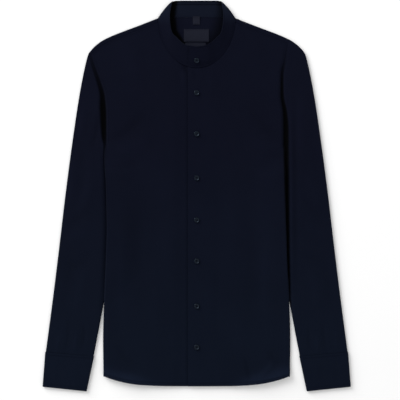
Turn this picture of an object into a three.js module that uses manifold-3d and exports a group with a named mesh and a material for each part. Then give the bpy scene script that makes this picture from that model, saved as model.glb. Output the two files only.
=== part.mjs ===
// A mandarin collar shirt laid flat on its back, front up, sleeves down its sides.
// Millimetres. X runs to the wearer's left, Y up to the collar, Z up from the surface it lies on.
// "right" and "left" are the wearer's. Side tables give x as the distance from the middle.
import * as THREE from "three";
import { mergeVertices } from "three/addons/utils/BufferGeometryUtils.js";
import Module from "manifold-3d";

const wasm = await Module();
wasm.setup();

// Cloth and seams
const CLOTH = 1.2; // one layer of shirting
const YOKE_CLOTH = 1.5; // two layers
const CUFF_CLOTH = 1.8; // two layers and a stiffener
const BAND_CLOTH = 2.0;
const SEAM = 0.3; // gap between two pieces at a seam
const LOFT = 5.2; // height of the body over all its layers
const ROLL = LOFT / 2; // how far a side fold rolls out
const FOLD_STEPS = 4; // flats round a half-round fold
const ROLL_FULL = 80; // height below which a side fold has its full roll
// How far each front wraps round to its side seam underneath, and the height from which down it does so fully
const UNDERLAP = { least: 2, most: 30, full: 0 };
const FRONT_LAP = 18; // the upper front's edge beyond the button line
const FRONT_UNDERLAP = 15; // the lower front's edge beyond it
const LAP_DIP = 1.0; // how far the lower front sinks under the upper one
const LAP_RISE = 0.5; // how far the upper front climbs over it
const LAP_SLOPE = [26, 50]; // distances from the middle between which they do so

// Where the body's sides lie on the sleeves: how far they ride up, over what width, how far they stay clear
// of the sleeve's fold, and the heights (y) over which that starts and ends
const TUCK = { lift: 4.2, slope: 60, clear: 2, top: [112, 70], foot: [-262, -226] };
// A sleeve under the body: its height there, over what distance beside the body and what heights it gets so
const PRESSED = { height: 3.9, beside: [18, 4], top: [100, 74], foot: [-262, -226] };

// Heights up the garment (y)
const UNDERARM = 105;
const YOKE_SEAM = 262;
const YOKE_FRONT = 9; // how far the yoke comes over the shoulder onto the front
const HEM_MIDDLE = -389.3;
const HEM_RISE = 20.3;
const HEM_CORNER = -369;
const HEM_HALF = 190;
const HEM_POWER = 3.7; // how late the hem turns up towards its corners
const ROW_CROWDING = 1.35; // rows of the body lie closer together towards the underarm

// The neck: the seam is a half ellipse in front and nearly straight behind
const NECK_HALF = 79.4;
const NECK_TOP = 365;
const NECK_DROP = 102.3;
const NECK_BACK_RISE = 1.7;

// The outline from the neck over the shoulder and down the sleeve to the cuff
const OUTLINE = [
  { y: 364.7, x: 79.7 },
  { y: 352.8, x: 110 },
  { y: 324.1, x: 183.4 },
  { y: 315.9, x: 198 },
  { y: 303.6, x: 212.7 },
  { y: 291.3, x: 222 },
  { y: 279, x: 225.8 },
  { y: 238, x: 234.8 },
  { y: 197, x: 242.2 },
  { y: 94.5, x: 257.2 },
  { y: -8, x: 270.5 },
  { y: -110.5, x: 282.6 },
  { y: -213, x: 295.3 },
  { y: -319.6, x: 309.5 },
];

// Armhole seams, from the shoulder to the underarm; the shirt is laid with one a little rolled in
const ARMHOLE = {
  right: [
    { y: 296.4, x: 218.6 },
    { y: 285, x: 216 },
    { y: 262.6, x: 208.8 },
    { y: 234, x: 198.5 },
    { y: 205, x: 190.3 },
    { y: 167, x: 187.3 },
    { y: UNDERARM, x: 187 },
  ],
  left: [
    { y: 321.4, x: 188.8 },
    { y: 283, x: 181.7 },
    { y: 250, x: 174.6 },
    { y: 205, x: 174.1 },
    { y: 172, x: 178.7 },
    { y: 140, x: 179.7 },
    { y: UNDERARM, x: 179.7 },
  ],
};

// Heights at which all pieces share the corners of an armhole seam, below its straight top stretch
const ARM_STATIONS = [UNDERARM, 130, 155, 180, 205, 233, YOKE_SEAM];

// Side folds of the body, from the underarm to the hem
const BODY_EDGE = [
  { y: UNDERARM, right: 186.7, left: 179.4 },
  { y: 80, right: 188.5, left: 180.1 },
  { y: 33, right: 186, left: 181 },
  { y: -69.5, right: 184, left: 183.4 },
  { y: -131, right: 186, left: 185.2 },
  { y: -192.5, right: 187.8, left: 187.8 },
  { y: -223, right: 190, left: 190 },
  { y: -295, right: 192, left: 192 },
  { y: HEM_CORNER, right: 191, left: 191 },
];

// Inner folds of the sleeves: they run under the body from below the underarm to near the hem
const SLEEVE_INNER = [
  { y: UNDERARM, right: 187.15, left: 179.85 },
  { y: 90, right: 189.8, left: 181.7 },
  { y: 70, right: 190.2, left: 182 },
  { y: 45, right: 179, left: 173 },
  { y: 10, right: 167, left: 163 },
  { y: -30, right: 162, left: 160 },
  { y: -90, right: 167, left: 166 },
  { y: -150, right: 177.5, left: 176.5 },
  { y: -213, right: 189.6, left: 189.6 },
  { y: -274.5, right: 201, left: 201 },
  { y: -328, right: 211.4, left: 211.4 },
];

// Rows across a sleeve: the share of its outer and inner edge reached, and its height
const SLEEVE_ROWS = [
  { at: 0, outer: 0, inner: 0, loft: 5 },
  { at: 0.2, outer: 0.24, inner: 0.29, loft: 5.8 },
  { at: 0.4, outer: 0.47, inner: 0.57, loft: 6 },
  { at: 0.6, outer: 0.7, inner: 0.84, loft: 5.8 },
  { at: 0.75, outer: 0.86, inner: 0.955, loft: 5.2 },
  { at: 0.86, outer: 0.935, inner: 0.98, loft: 5.2 },
  { at: 1, outer: 1, inner: 1, loft: LOFT },
];
const SLEEVE_ROW_COUNT = 20;
const CUFF_ROW_COUNT = 3;
const CUFF_SEAM = { outer: -319.6, inner: -328 };
const CUFF_END = { outer: [316, -390.5], inner: [225.6, -399.9] };
const CUFF_LOFT = 6.2;
const CUFF_STEP = 1; // how far the cuff stands wider than the sleeve sewn into it

// The collar band: the mouth's edge from the front middle to the side fold, and its heights
const MOUTH = [
  { t: 0, x: 0, y: 304.6 },
  { t: 0.2, x: 21, y: 308 },
  { t: 0.4, x: 38, y: 320.5 },
  { t: 0.6, x: 52, y: 340 },
  { t: 0.8, x: 55, y: 369 },
  { t: 1, x: 50, y: 399.8 },
];
const BAND_BACK_HALF = 50;
const BAND_BACK_TOP = 399.8;
const BAND_BULGE = 1.5; // how far the side folds bow out
const BAND_BOW = 0.75; // share of the quarter turn from which the front follows that bow
const BAND_BACK = { seam: 0, edge: 8, power: 1.2 }; // height of its underside behind the neck
const BAND_FRONT = { seam: 5.4, edge: 14, power: 1.1 }; // height of its top in front
const BAND_LAP_SLOPE = [18, 34]; // degrees round the neck over which the upper end climbs

const BUTTON = { thick: 2.4, hole: 0.85, spread: 1.5, sides: 14, holeSides: 6 };
// The button's half section, from the middle of its back over the rim to the middle of its dished face
const BUTTON_PROFILE = [
  { r: 0, z: 0 },
  { r: 4.8, z: 0 },
  { r: 5.5, z: 1.1 },
  { r: 4.9, z: BUTTON.thick },
  { r: 3.8, z: 1.7 },
  { r: 0, z: 1.7 },
];
const BUTTON_ROWS = [211.4, 127.3, 37.1, -49, -133, -225.3, -309.3];
const BAND_BUTTON_Y = 277;
const LABEL_THICK = 0.6;
const LABELS = {
  neck: { x0: -26.3, x1: 25, rows: [316.5, 342.5] },
  size: { x0: -7.9, x1: 6.5, rows: [351.8, 357, 361, 365, 368.6] },
  fit: { x0: -23.5, x1: 18.5, rows: [300, 308, 314.5] },
};
const LABEL_CLIMB = 8; // distance below the neck seam from which a label climbs onto the band

// Largest folds: soft ridges or troughs along a line, in the wearer's side's own x
const FOLDS = [
  { side: "right", x0: 226, y0: 98, x1: 244, y1: -10, width: 9, height: -0.8 },
  { side: "right", x0: 214, y0: 60, x1: 226, y1: -60, width: 12, height: 0.6 },
  { side: "left", x0: 200, y0: 130, x1: 204, y1: -150, width: 8, height: 0.7 },
  { side: "left", x0: 236, y0: 150, x1: 250, y1: 40, width: 12, height: -0.6 },
  { side: "right", x0: 40, y0: 286, x1: 90, y1: 318, width: 11, height: 0.5 },
  { side: "left", x0: 60, y0: 250, x1: 150, y1: 225, width: 16, height: -0.5 },
];
const FOLD_ENDS = { start: [-0.15, 0.3], finish: [1.15, 0.7] }; // shares of its line over which one fades

const COLOUR = { cloth: 0x0f1420, band: 0x10151f, label: 0x3a4048, button: 0x0a1022 };
const SIGN = { right: -1, left: 1 };

const mix = (a, b, t) => a + (b - a) * t;
const mixPoint = (p, q, t) => p.map((value, k) => mix(value, q[k], t));
const steps = (count) => Array.from({ length: count + 1 }, (_, k) => k / count);

// Soft step from 0 at a to 1 at b; a may be the larger
function ease(a, b, value) {
  const t = Math.min(1, Math.max(0, (value - a) / (b - a)));
  return t * t * (3 - 2 * t);
}

// Smooth curve through a table's rows that never overshoots them
function curve(table, key, column) {
  const rows = [...table].sort((a, b) => a[key] - b[key]);
  const rise = rows.slice(1).map((row, k) => (row[column] - rows[k][column]) / (row[key] - rows[k][key]));
  const slope = rows.map((_, k) => {
    const before = rise[Math.max(0, k - 1)];
    const after = rise[Math.min(rise.length - 1, k)];
    return before * after <= 0 ? 0 : (2 * before * after) / (before + after);
  });
  return (at) => {
    const last = rows.length - 2;
    const k = Math.min(last, Math.max(0, rows.findLastIndex((row) => row[key] <= at)));
    const span = rows[k + 1][key] - rows[k][key];
    const t = (at - rows[k][key]) / span;
    const start = rows[k][column] * (1 + 2 * t) * (1 - t) ** 2 + slope[k] * span * t * (1 - t) ** 2;
    const end = rows[k + 1][column] * t * t * (3 - 2 * t) - slope[k + 1] * span * t * t * (1 - t);
    return start + end;
  };
}

// Patch of points [x, y] between four edges, each a function of 0..1
function patch(bottom, top, start, end) {
  return (u, v) => [0, 1].map((k) => {
    const along = mix(bottom(u)[k], top(u)[k], v) + mix(start(v)[k], end(v)[k], u);
    const low = mix(bottom(0)[k], bottom(1)[k], u);
    const high = mix(top(0)[k], top(1)[k], u);
    return along - mix(low, high, v);
  });
}

// Closes two matching grids of points into one solid wall. A ring joins its last column to its first,
// and keep(row, column) says which cells of the grid are cloth.
function wall(outer, inner, { ring = false, keep = () => true } = {}) {
  const rows = outer.length;
  const columns = outer[0].length;
  const cells = ring ? columns : columns - 1;
  const positions = [];
  const ids = new Map();
  const layers = [outer, inner];
  const vertex = (layer, row, column) => {
    const key = (layer * rows + row) * columns + (column % columns);
    if (!ids.has(key)) {
      ids.set(key, positions.length / 3);
      positions.push(...layers[layer][row][column % columns]);
    }
    return ids.get(key);
  };
  const has = (row, column) => {
    const across = ring ? (column + cells) % cells : column;
    return row >= 0 && row < rows - 1 && across >= 0 && across < cells && keep(row, across);
  };
  const faces = [];
  const rim = (from, to) => {
    const [a, b, c, d] = [vertex(0, ...from), vertex(0, ...to), vertex(1, ...to), vertex(1, ...from)];
    faces.push([b, a, d], [b, d, c]);
  };
  for (let row = 0; row < rows - 1; row += 1) {
    for (let column = 0; column < cells; column += 1) {
      if (!has(row, column)) continue;
      const corners = [[row, column], [row, column + 1], [row + 1, column + 1], [row + 1, column]];
      const [a, b, c, d] = corners.map((corner) => vertex(0, ...corner));
      const [e, f, g, h] = corners.map((corner) => vertex(1, ...corner));
      faces.push([a, b, c], [a, c, d], [g, f, e], [h, g, e]);
      const beyond = [has(row - 1, column), has(row, column + 1), has(row + 1, column), has(row, column - 1)];
      beyond.forEach((joined, side) => {
        if (!joined) rim(corners[side], corners[(side + 1) % 4]);
      });
    }
  }
  return facingOut(positions, faces);
}

// Indexed geometry whose faces point out, whichever way its grid ran
function facingOut(positions, faces) {
  const corner = (id) => new THREE.Vector3().fromArray(positions, id * 3);
  const volume = faces.reduce((sum, [a, b, c]) => sum + corner(a).dot(corner(b).cross(corner(c))), 0);
  const index = faces.flatMap(([a, b, c]) => (volume > 0 ? [a, b, c] : [a, c, b]));
  const geometry = new THREE.BufferGeometry();
  geometry.setAttribute("position", new THREE.Float32BufferAttribute(positions, 3));
  geometry.setIndex(index);
  geometry.computeVertexNormals();
  return geometry;
}

// Cross-section of folded cloth: a point at a height between the under wall (-1) and the upper wall (1),
// moved in by the wall's thickness on the inner grid
function between(low, high, level, inset) {
  const half = (high - low) / 2;
  return (low + high) / 2 + level * (half - inset);
}

// Points of a half-round fold: how far each lies in from the fold's edge, and its level
function foldPoints(roll, inset) {
  const depth = Math.min(inset, (inset * roll) / ROLL);
  return steps(FOLD_STEPS).map((t) => {
    const turn = (t - 0.5) * Math.PI;
    return { inward: depth + (roll - depth) * (1 - Math.cos(turn)), level: Math.sin(turn) };
  });
}

const outlineX = curve(OUTLINE, "y", "x");
const hemY = (x) => HEM_MIDDLE + HEM_RISE * Math.abs(x / HEM_HALF) ** HEM_POWER;
const neckBackY = (x) => NECK_TOP + NECK_BACK_RISE * (1 - (x / NECK_HALF) ** 2);
const neckFront = (angle, outward) => [
  (NECK_HALF + outward) * Math.sin(angle),
  NECK_TOP - (NECK_DROP + outward) * Math.cos(angle),
];

// What differs between the two sides of the garment
function sideOf(name) {
  const armTop = ARMHOLE[name][0].y;
  const armCurve = curve(ARMHOLE[name], "y", "x");
  const stations = [...ARM_STATIONS, armTop];
  const armX = (y) => {
    const k = Math.max(0, Math.min(stations.length - 2, stations.findLastIndex((station) => station <= y)));
    const t = (y - stations[k]) / (stations[k + 1] - stations[k]);
    return mix(armCurve(stations[k]), armCurve(stations[k + 1]), t);
  };
  const edge = curve(BODY_EDGE, "y", name);
  const inner = curve(SLEEVE_INNER, "y", name);
  const folds = FOLDS.filter((fold) => fold.side === name);
  return { name, sign: SIGN[name], armX, armTop, edge, inner, folds };
}
const SIDE = { right: sideOf("right"), left: sideOf("left") };

// Height of the body's underside: it climbs over the hidden part of each sleeve
function lift(side, x, y) {
  const crest = side.inner(y) - TUCK.clear;
  return TUCK.lift * ease(crest - TUCK.slope, crest, x) * ease(...TUCK.top, y) * ease(...TUCK.foot, y);
}

// Sum of the largest folds at a point: each fades out across its width and towards its ends
function relief(side, x, y) {
  return side.folds.reduce((sum, fold) => {
    const [dx, dy] = [fold.x1 - fold.x0, fold.y1 - fold.y0];
    const along = ((x - fold.x0) * dx + (y - fold.y0) * dy) / (dx * dx + dy * dy);
    const away = Math.abs((x - fold.x0) * dy - (y - fold.y0) * dx) / Math.hypot(dx, dy);
    const ends = ease(...FOLD_ENDS.start, along) * ease(...FOLD_ENDS.finish, along);
    return sum + fold.height * ends * Math.exp(-((away / fold.width) ** 2));
  }, 0);
}

// Point on the shoulder, t from the neck to the armhole, inset down the front from the outline
function shoulder(side, t, inset) {
  const y = mix(OUTLINE[0].y, side.armTop, t);
  const lean = outlineX(side.armTop) - side.armX(side.armTop - inset) + SEAM / 2;
  return [outlineX(y) - t * lean, y - inset];
}

// Angles round the front of the neck, from its middle to the yoke, shared by the fronts and the band
const NECK_CORNER = Math.acos((NECK_TOP - OUTLINE[0].y + YOKE_FRONT + SEAM) / (NECK_DROP + SEAM / 2));
const NECK_ANGLES = [0, 0.5, 1, 2, 3, 4, 5, 6, 7, 8].map((part) => (NECK_CORNER * part) / 8);
const lapAngles = (x) => [1, 0.5].map((share) => share * Math.asin(x / NECK_HALF));

const rollAt = (y) => mix(ROLL / 2, ROLL, ease(UNDERARM, ROLL_FULL, y));
const underlapAt = (y) => mix(UNDERLAP.least, UNDERLAP.most, ease(UNDERARM, UNDERLAP.full, y));
const sideSeam = (side, y) => side.edge(y) - rollAt(y) - underlapAt(y);

const FRONT_ROWS = { below: 15, above: ARM_STATIONS.length };
const FRONT_COLUMNS = { lap: 2, neck: 9, shoulder: 6, strip: 3 };
const BACK_COLUMNS = 12;
const YOKE_COLUMNS = { shoulder: FRONT_COLUMNS.shoulder, neck: 8 };
const YOKE_ROWS = [0, 0.3, 0.6, 1]; // shares of the way from its lower edge to the shoulder fold

const rowShare = (row) => row / (FRONT_ROWS.below + FRONT_ROWS.above);

// Heights of a front's side edge: the hem corner, the underarm and the shoulder seam
function frontSideY(side, v) {
  const split = rowShare(FRONT_ROWS.below);
  const above = Math.round((v - split) / rowShare(1));
  if (above > 0) return [...ARM_STATIONS, side.armTop - YOKE_FRONT - SEAM][above];
  const t = v / split;
  return mix(hemY(side.edge(HEM_CORNER)), UNDERARM, 1 - (1 - t) ** ROW_CROWDING);
}

// Front panel: its upper face, the half-round side fold and the strip that wraps round to the side seam
function front(side, overlap, lapHeight) {
  const rows = FRONT_ROWS.below + FRONT_ROWS.above;
  const columns = FRONT_COLUMNS.lap + FRONT_COLUMNS.neck + FRONT_COLUMNS.shoulder;
  const neckEnd = FRONT_COLUMNS.lap + FRONT_COLUMNS.neck;
  const neckAngles = [...lapAngles(-overlap), ...NECK_ANGLES];
  const sideX = (y) => (y > UNDERARM ? side.armX(y) - SEAM / 2 : side.edge(y) - rollAt(y));
  const top = (u) => {
    const column = Math.round(u * columns);
    if (column <= neckEnd) return neckFront(neckAngles[column], SEAM / 2);
    return shoulder(side, (column - neckEnd) / FRONT_COLUMNS.shoulder, YOKE_FRONT + SEAM);
  };
  const sideEdge = (v) => [sideX(frontSideY(side, v)), frontSideY(side, v)];
  const bottom = (u) => {
    const x = mix(-overlap, sideEdge(0)[0], u);
    return [x, hemY(x)];
  };
  const middle = (v) => [-overlap, mix(hemY(overlap), top(0)[1], v)];
  const flat = patch(bottom, top, middle, sideEdge);
  const topHeight = (x, y) => LOFT + lift(side, x, y) + relief(side, x, y)
    + lapHeight * ease(LAP_SLOPE[1], LAP_SLOPE[0], x);

  const grid = (inset) => steps(rows).map((v) => {
    const y = frontSideY(side, v);
    const seam = sideEdge(v)[0];
    const roll = rollAt(y);
    const run = steps(columns).map((u) => {
      const [x, along] = flat(u, v);
      return [x, along, topHeight(x, along) - inset];
    });
    const low = lift(side, seam, y);
    const high = topHeight(seam, y);
    const alongHem = (x) => (v === 0 ? hemY(x) : y);
    const fold = foldPoints(roll, inset).reverse().slice(1).map((point) => {
      const x = seam + roll - point.inward;
      return [x, alongHem(x), between(low, high, point.level, inset)];
    });
    const strip = steps(FRONT_COLUMNS.strip).slice(1).map((t) => {
      const x = seam - t * underlapAt(y);
      return [x, alongHem(x), lift(side, x, y) + inset];
    });
    return [...run, ...fold, ...strip].map(([x, along, z]) => [side.sign * x, along, z]);
  });
  const keep = (row, column) => row < FRONT_ROWS.below || column < columns;
  return wall(grid(0), grid(CLOTH), { keep });
}

// Back panel: its side rows are the fronts' own, so the two edges of each side seam match
function back() {
  const seamX = (side, y) => (y > UNDERARM ? side.armX(y) - SEAM / 2 : sideSeam(side, y) - SEAM);
  const below = steps(FRONT_ROWS.below).map((t) => frontSideY(SIDE.right, t * rowShare(FRONT_ROWS.below)));
  const above = [...ARM_STATIONS.slice(1, -1), YOKE_SEAM - SEAM];
  const grid = (inset) => [...below, ...above].map((y, row) => steps(BACK_COLUMNS).map((u) => {
    const x = mix(-seamX(SIDE.right, y), seamX(SIDE.left, y), 0.5 - 0.5 * Math.cos(u * Math.PI));
    const side = x < 0 ? SIDE.right : SIDE.left;
    return [x, row === 0 ? hemY(x) : y, lift(side, Math.abs(x), y) + inset];
  }));
  return wall(grid(0), grid(CLOTH));
}

// Yoke: flat behind the neck, and over each shoulder in a half-round fold onto the front
function yoke() {
  const wrap = YOKE_COLUMNS.shoulder;
  const last = 2 * wrap + YOKE_COLUMNS.neck;
  const isNeck = (column) => column > wrap && column < last - wrap;
  const sideAt = (column) => (column <= last / 2 ? SIDE.right : SIDE.left);
  const shareAt = (column) => 1 - Math.min(column, last - column) / wrap;
  const foldEdge = (column, inset) => {
    const side = sideAt(column);
    if (isNeck(column)) {
      const x = OUTLINE[0].x * mix(-1, 1, (column - wrap) / YOKE_COLUMNS.neck);
      return [x, neckBackY(x) - SEAM / 2];
    }
    const [x, y] = shoulder(side, shareAt(column), inset);
    return [side.sign * x, y];
  };
  const seamX = (side, y) => side.sign * (side.armX(y) - SEAM / 2);
  const startX = foldEdge(0, 0)[0];
  const endX = foldEdge(last, 0)[0];
  const lowEdge = (column) => {
    const share = (foldEdge(column, 0)[0] - startX) / (endX - startX);
    return [mix(seamX(SIDE.right, YOKE_SEAM), seamX(SIDE.left, YOKE_SEAM), share), YOKE_SEAM];
  };
  const columns = Array.from({ length: last + 1 }, (_, column) => column);
  const flatRow = (t, inset) => columns.map((column) => {
    const top = foldEdge(column, isNeck(column) ? 0 : ROLL);
    const [x, y] = mixPoint(lowEdge(column), top, t);
    const onSeam = column === 0 || column === last;
    return [onSeam ? seamX(sideAt(column), y) : x, y, inset];
  });
  const foldRow = (point, inset) => columns.map((column) => {
    const [x, y] = foldEdge(column, isNeck(column) ? 0 : point.inward);
    return [x, y, between(0, LOFT, point.level, inset)];
  });
  const grid = (inset) => [
    ...YOKE_ROWS.map((t) => flatRow(t, inset)),
    ...foldPoints(ROLL, inset).slice(1).map((point) => foldRow(point, inset)),
    ...[0.5, 1].map((t) => foldRow({ inward: mix(ROLL, YOKE_FRONT, t), level: 1 }, inset)),
  ];
  const keep = (row, column) => row < YOKE_ROWS.length - 1 || column < wrap || column >= last - wrap;
  return wall(grid(0), grid(YOKE_CLOTH), { keep });
}

const TUBE_COLUMNS = ARM_STATIONS.length + 1;

// Columns round a flattened tube, from its outer fold over the top to its inner fold and back below
function tubeColumns(width, roll, inset) {
  const fold = foldPoints(roll, inset);
  const inside = steps(TUBE_COLUMNS).slice(1, -1);
  const upper = inside.map((t) => ({ inward: width * t, level: 1 }));
  const lower = inside.map((t) => ({ inward: width * (1 - t), level: -1 }));
  const turned = [...fold].reverse().map((point) => ({ inward: width - point.inward, level: point.level }));
  return [...fold, ...upper, ...turned, ...lower].map(({ inward, level }) => ({ u: inward / width, level }));
}

// Sleeve: a flattened tube from the cuff to the armhole, thinner where the body lies on it
function sleeve(side) {
  const outerShare = curve(SLEEVE_ROWS, "at", "outer");
  const innerShare = curve(SLEEVE_ROWS, "at", "inner");
  const loft = curve(SLEEVE_ROWS, "at", "loft");
  const outerEdge = (v) => {
    const y = mix(CUFF_SEAM.outer, side.armTop, outerShare(v));
    return [outlineX(y) + v * (SEAM / 2), y];
  };
  const innerEdge = (v) => {
    const y = mix(CUFF_SEAM.inner, UNDERARM, innerShare(v));
    return [side.inner(y), y];
  };
  const seamRows = [side.armTop, side.armTop - YOKE_FRONT - SEAM, ...[...ARM_STATIONS].reverse()];
  const top = (u) => {
    const k = Math.min(TUBE_COLUMNS - 1, Math.floor(u * TUBE_COLUMNS));
    const y = mix(seamRows[k], seamRows[k + 1], u * TUBE_COLUMNS - k);
    return [side.armX(y) + SEAM / 2, y];
  };
  const bottom = (u) => mixPoint(outerEdge(0), innerEdge(0), u);
  const flat = patch(bottom, top, outerEdge, innerEdge);
  const height = (x, y, v) => {
    const beside = ease(...PRESSED.beside, x - side.edge(y));
    const pressed = beside * ease(...PRESSED.top, y) * ease(...PRESSED.foot, y);
    return mix(loft(v) + relief(side, x, y), PRESSED.height, pressed);
  };
  const grid = (inset) => steps(SLEEVE_ROW_COUNT).map((v) => {
    const [from, to] = [outerEdge(v), innerEdge(v)];
    const width = Math.hypot(from[0] - to[0], from[1] - to[1]);
    return tubeColumns(width, ROLL, inset).map(({ u, level }) => {
      const [x, y] = flat(u, v);
      return [side.sign * x, y, between(0, height(x, y, v), level, inset)];
    });
  });
  return wall(grid(0), grid(CLOTH), { ring: true });
}

// Cuff: a short flattened tube that stands a step wider than the sleeve's end
function cuff(side) {
  const seam = {
    outer: [outlineX(CUFF_SEAM.outer) + CUFF_STEP, CUFF_SEAM.outer - SEAM],
    inner: [side.inner(CUFF_SEAM.inner) - CUFF_STEP, CUFF_SEAM.inner - SEAM],
  };
  const grid = (inset) => steps(CUFF_ROW_COUNT).map((v) => {
    const from = mixPoint(seam.outer, CUFF_END.outer, v);
    const to = mixPoint(seam.inner, CUFF_END.inner, v);
    const width = Math.hypot(from[0] - to[0], from[1] - to[1]);
    return tubeColumns(width, ROLL, inset).map(({ u, level }) => {
      const [x, y] = mixPoint(from, to, u);
      return [side.sign * x, y, between(0, CUFF_LOFT, level, inset)];
    });
  });
  return wall(grid(0), grid(CUFF_CLOTH), { ring: true });
}

const mouthX = curve(MOUTH, "t", "x");
const mouthY = curve(MOUTH, "t", "y");

// Side fold of the band, v from the neck seam to the free edge, bowed out square to its straight line
const BAND_FOLD = {
  seam: [NECK_HALF - SEAM / 2, NECK_TOP + SEAM / 2],
  edge: [BAND_BACK_HALF, BAND_BACK_TOP],
};
function bandFold(v) {
  const [run, rise] = BAND_FOLD.edge.map((value, k) => value - BAND_FOLD.seam[k]);
  const bulge = (BAND_BULGE * 4 * v * (1 - v)) / Math.hypot(run, rise);
  const [x, y] = mixPoint(BAND_FOLD.seam, BAND_FOLD.edge, v);
  return [x + bulge * rise, y - bulge * run];
}

// Front of the band in plan: angle round the neck, 0 at the middle and a quarter turn at the fold
function bandFront(angle, v) {
  const t = Math.abs(angle) / (Math.PI / 2);
  const seam = neckFront(angle, -SEAM / 2);
  const edge = [Math.sign(angle) * mouthX(t), mouthY(t)];
  const [foldX, foldY] = bandFold(v);
  const [straightX, straightY] = mixPoint(neckFront(Math.PI / 2, -SEAM / 2), BAND_FOLD.edge, v);
  const [x, y] = mixPoint(seam, edge, v);
  const atFold = ease(BAND_BOW, 1, t);
  return [x + Math.sign(angle) * atFold * (foldX - straightX), y + atFold * (foldY - straightY)];
}

const bandTop = (v) => mix(BAND_FRONT.seam, BAND_FRONT.edge, v ** BAND_FRONT.power);
const bandUnder = (v) => mix(BAND_BACK.seam, BAND_BACK.edge, v ** BAND_BACK.power);
const BAND_STEPS = { up: 4, back: 8 };
const LAP_STEP = BAND_CLOTH + SEAM;

// How far the band's upper end rides over the lower one, by the angle round the neck
function bandLap(angle) {
  const [from, to] = BAND_LAP_SLOPE.map(THREE.MathUtils.degToRad);
  return LAP_STEP * ease(to, from, angle);
}

// Collar band: one strip from its upper end at the front, round the left fold, behind the neck,
// round the right fold and back to its lower end at the front
function collarBand() {
  const backSteps = steps(BAND_STEPS.back).slice(1, -1);
  const strip = (inset) => (v) => {
    const [low, high] = [bandUnder(v), bandTop(v)];
    const [foldX, foldY] = bandFold(v);
    const reach = (high - low) / 2;
    const leftFront = [...lapAngles(-FRONT_LAP), ...NECK_ANGLES].map((angle) => (
      [...bandFront(angle, v), high + bandLap(angle) - inset]));
    const rightFront = [...lapAngles(FRONT_UNDERLAP), ...NECK_ANGLES.map((angle) => -angle)].map((angle) => (
      [...bandFront(angle, v), high - inset])).reverse();
    const turn = foldPoints(reach, inset).reverse();
    const foldOf = (sign) => turn.map(({ inward, level }) => {
      const slip = level >= 0 ? [0, inward] : [inward, 0];
      return [sign * (foldX - slip[0]), foldY - slip[1], between(low, high, level, inset)];
    });
    const behind = backSteps.map((t) => {
      const x = mix(foldX - reach, -(foldX - reach), t);
      const rise = v === 0 ? neckBackY(x) - NECK_TOP : (1 - v) * NECK_BACK_RISE * (1 - (x / foldX) ** 2);
      return [x, foldY + rise, low + inset];
    });
    return [...leftFront, ...foldOf(1), ...behind, ...foldOf(-1).reverse(), ...rightFront];
  };
  const grid = (inset) => steps(BAND_STEPS.up).map(strip(inset));
  return wall(grid(0), grid(BAND_CLOTH));
}

function solid(geometry) {
  const bare = geometry.clone();
  bare.deleteAttribute("normal");
  bare.deleteAttribute("uv");
  const merged = mergeVertices(bare, 1e-4);
  const vertProperties = new Float32Array(merged.attributes.position.array);
  const triVerts = new Uint32Array(merged.index.array);
  return new wasm.Manifold(new wasm.Mesh({ numProp: 3, vertProperties, triVerts }));
}

function geometryOf(manifold) {
  const { vertProperties, triVerts } = manifold.getMesh();
  const geometry = new THREE.BufferGeometry();
  geometry.setAttribute("position", new THREE.Float32BufferAttribute(vertProperties, 3));
  geometry.setIndex(new THREE.Uint32BufferAttribute(triVerts, 1));
  geometry.computeVertexNormals();
  return geometry;
}

// Four-hole button, lying in the XY plane with its underside at z = 0
function buttonGeometry() {
  const { thick, hole, spread, sides, holeSides } = BUTTON;
  const profile = BUTTON_PROFILE.map(({ r, z }) => new THREE.Vector2(r, z));
  const disc = new THREE.LatheGeometry(profile, sides).rotateX(Math.PI / 2);
  let button = solid(disc);
  for (const turn of [0, 1, 2, 3]) {
    const angle = Math.PI / 4 + (turn * Math.PI) / 2;
    const pin = new THREE.CylinderGeometry(hole, hole, thick * 4, holeSides).rotateX(Math.PI / 2);
    pin.translate(spread * Math.cos(angle), spread * Math.sin(angle), 0);
    button = button.subtract(solid(pin));
  }
  return geometryOf(button);
}

// Thin label that follows the cloth under it: height(y) is the cloth's top at its rows
function label({ x0, x1, rows }, height) {
  const grid = (raise) => rows.map((y) => [x0, x1].map((x) => [x, y, height(y) + SEAM + raise]));
  return wall(grid(LABEL_THICK), grid(0));
}

const matte = (color) => new THREE.MeshStandardMaterial({ color, roughness: 0.9, metalness: 0 });
const cloth = matte(COLOUR.cloth);
const bandCloth = matte(COLOUR.band);
const labelCloth = matte(COLOUR.label);
const resin = new THREE.MeshStandardMaterial({ color: COLOUR.button, roughness: 0.25, metalness: 0 });

const group = new THREE.Group();
function add(name, geometry, material) {
  const mesh = new THREE.Mesh(geometry, material);
  mesh.name = name;
  group.add(mesh);
  return mesh;
}

add("front_right", front(SIDE.right, FRONT_UNDERLAP, -LAP_DIP), cloth);
add("front_left", front(SIDE.left, FRONT_LAP, LAP_RISE), cloth);
add("back", back(), cloth);
add("yoke", yoke(), cloth);
for (const side of [SIDE.right, SIDE.left]) {
  add(`sleeve_${side.name}`, sleeve(side), cloth);
  add(`cuff_${side.name}`, cuff(side), cloth);
}
add("collar_band", collarBand(), bandCloth);

// Buttons: the first on the band, tilted with it, the others down the upper front
const lapTop = LOFT + LAP_RISE + SEAM;
const bandShare = (BAND_BUTTON_Y - (NECK_TOP - NECK_DROP)) / (MOUTH[0].y - (NECK_TOP - NECK_DROP));
const bandSlope = Math.atan2(BAND_FRONT.edge - BAND_FRONT.seam, MOUTH[0].y - (NECK_TOP - NECK_DROP));
const bandButton = add("button_1", buttonGeometry(), resin);
bandButton.position.set(0, BAND_BUTTON_Y, bandTop(bandShare) + LAP_STEP + SEAM);
bandButton.rotation.x = bandSlope;
BUTTON_ROWS.forEach((y, k) => {
  add(`button_${k + 2}`, buttonGeometry(), resin).position.set(0, y, lapTop);
});

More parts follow.
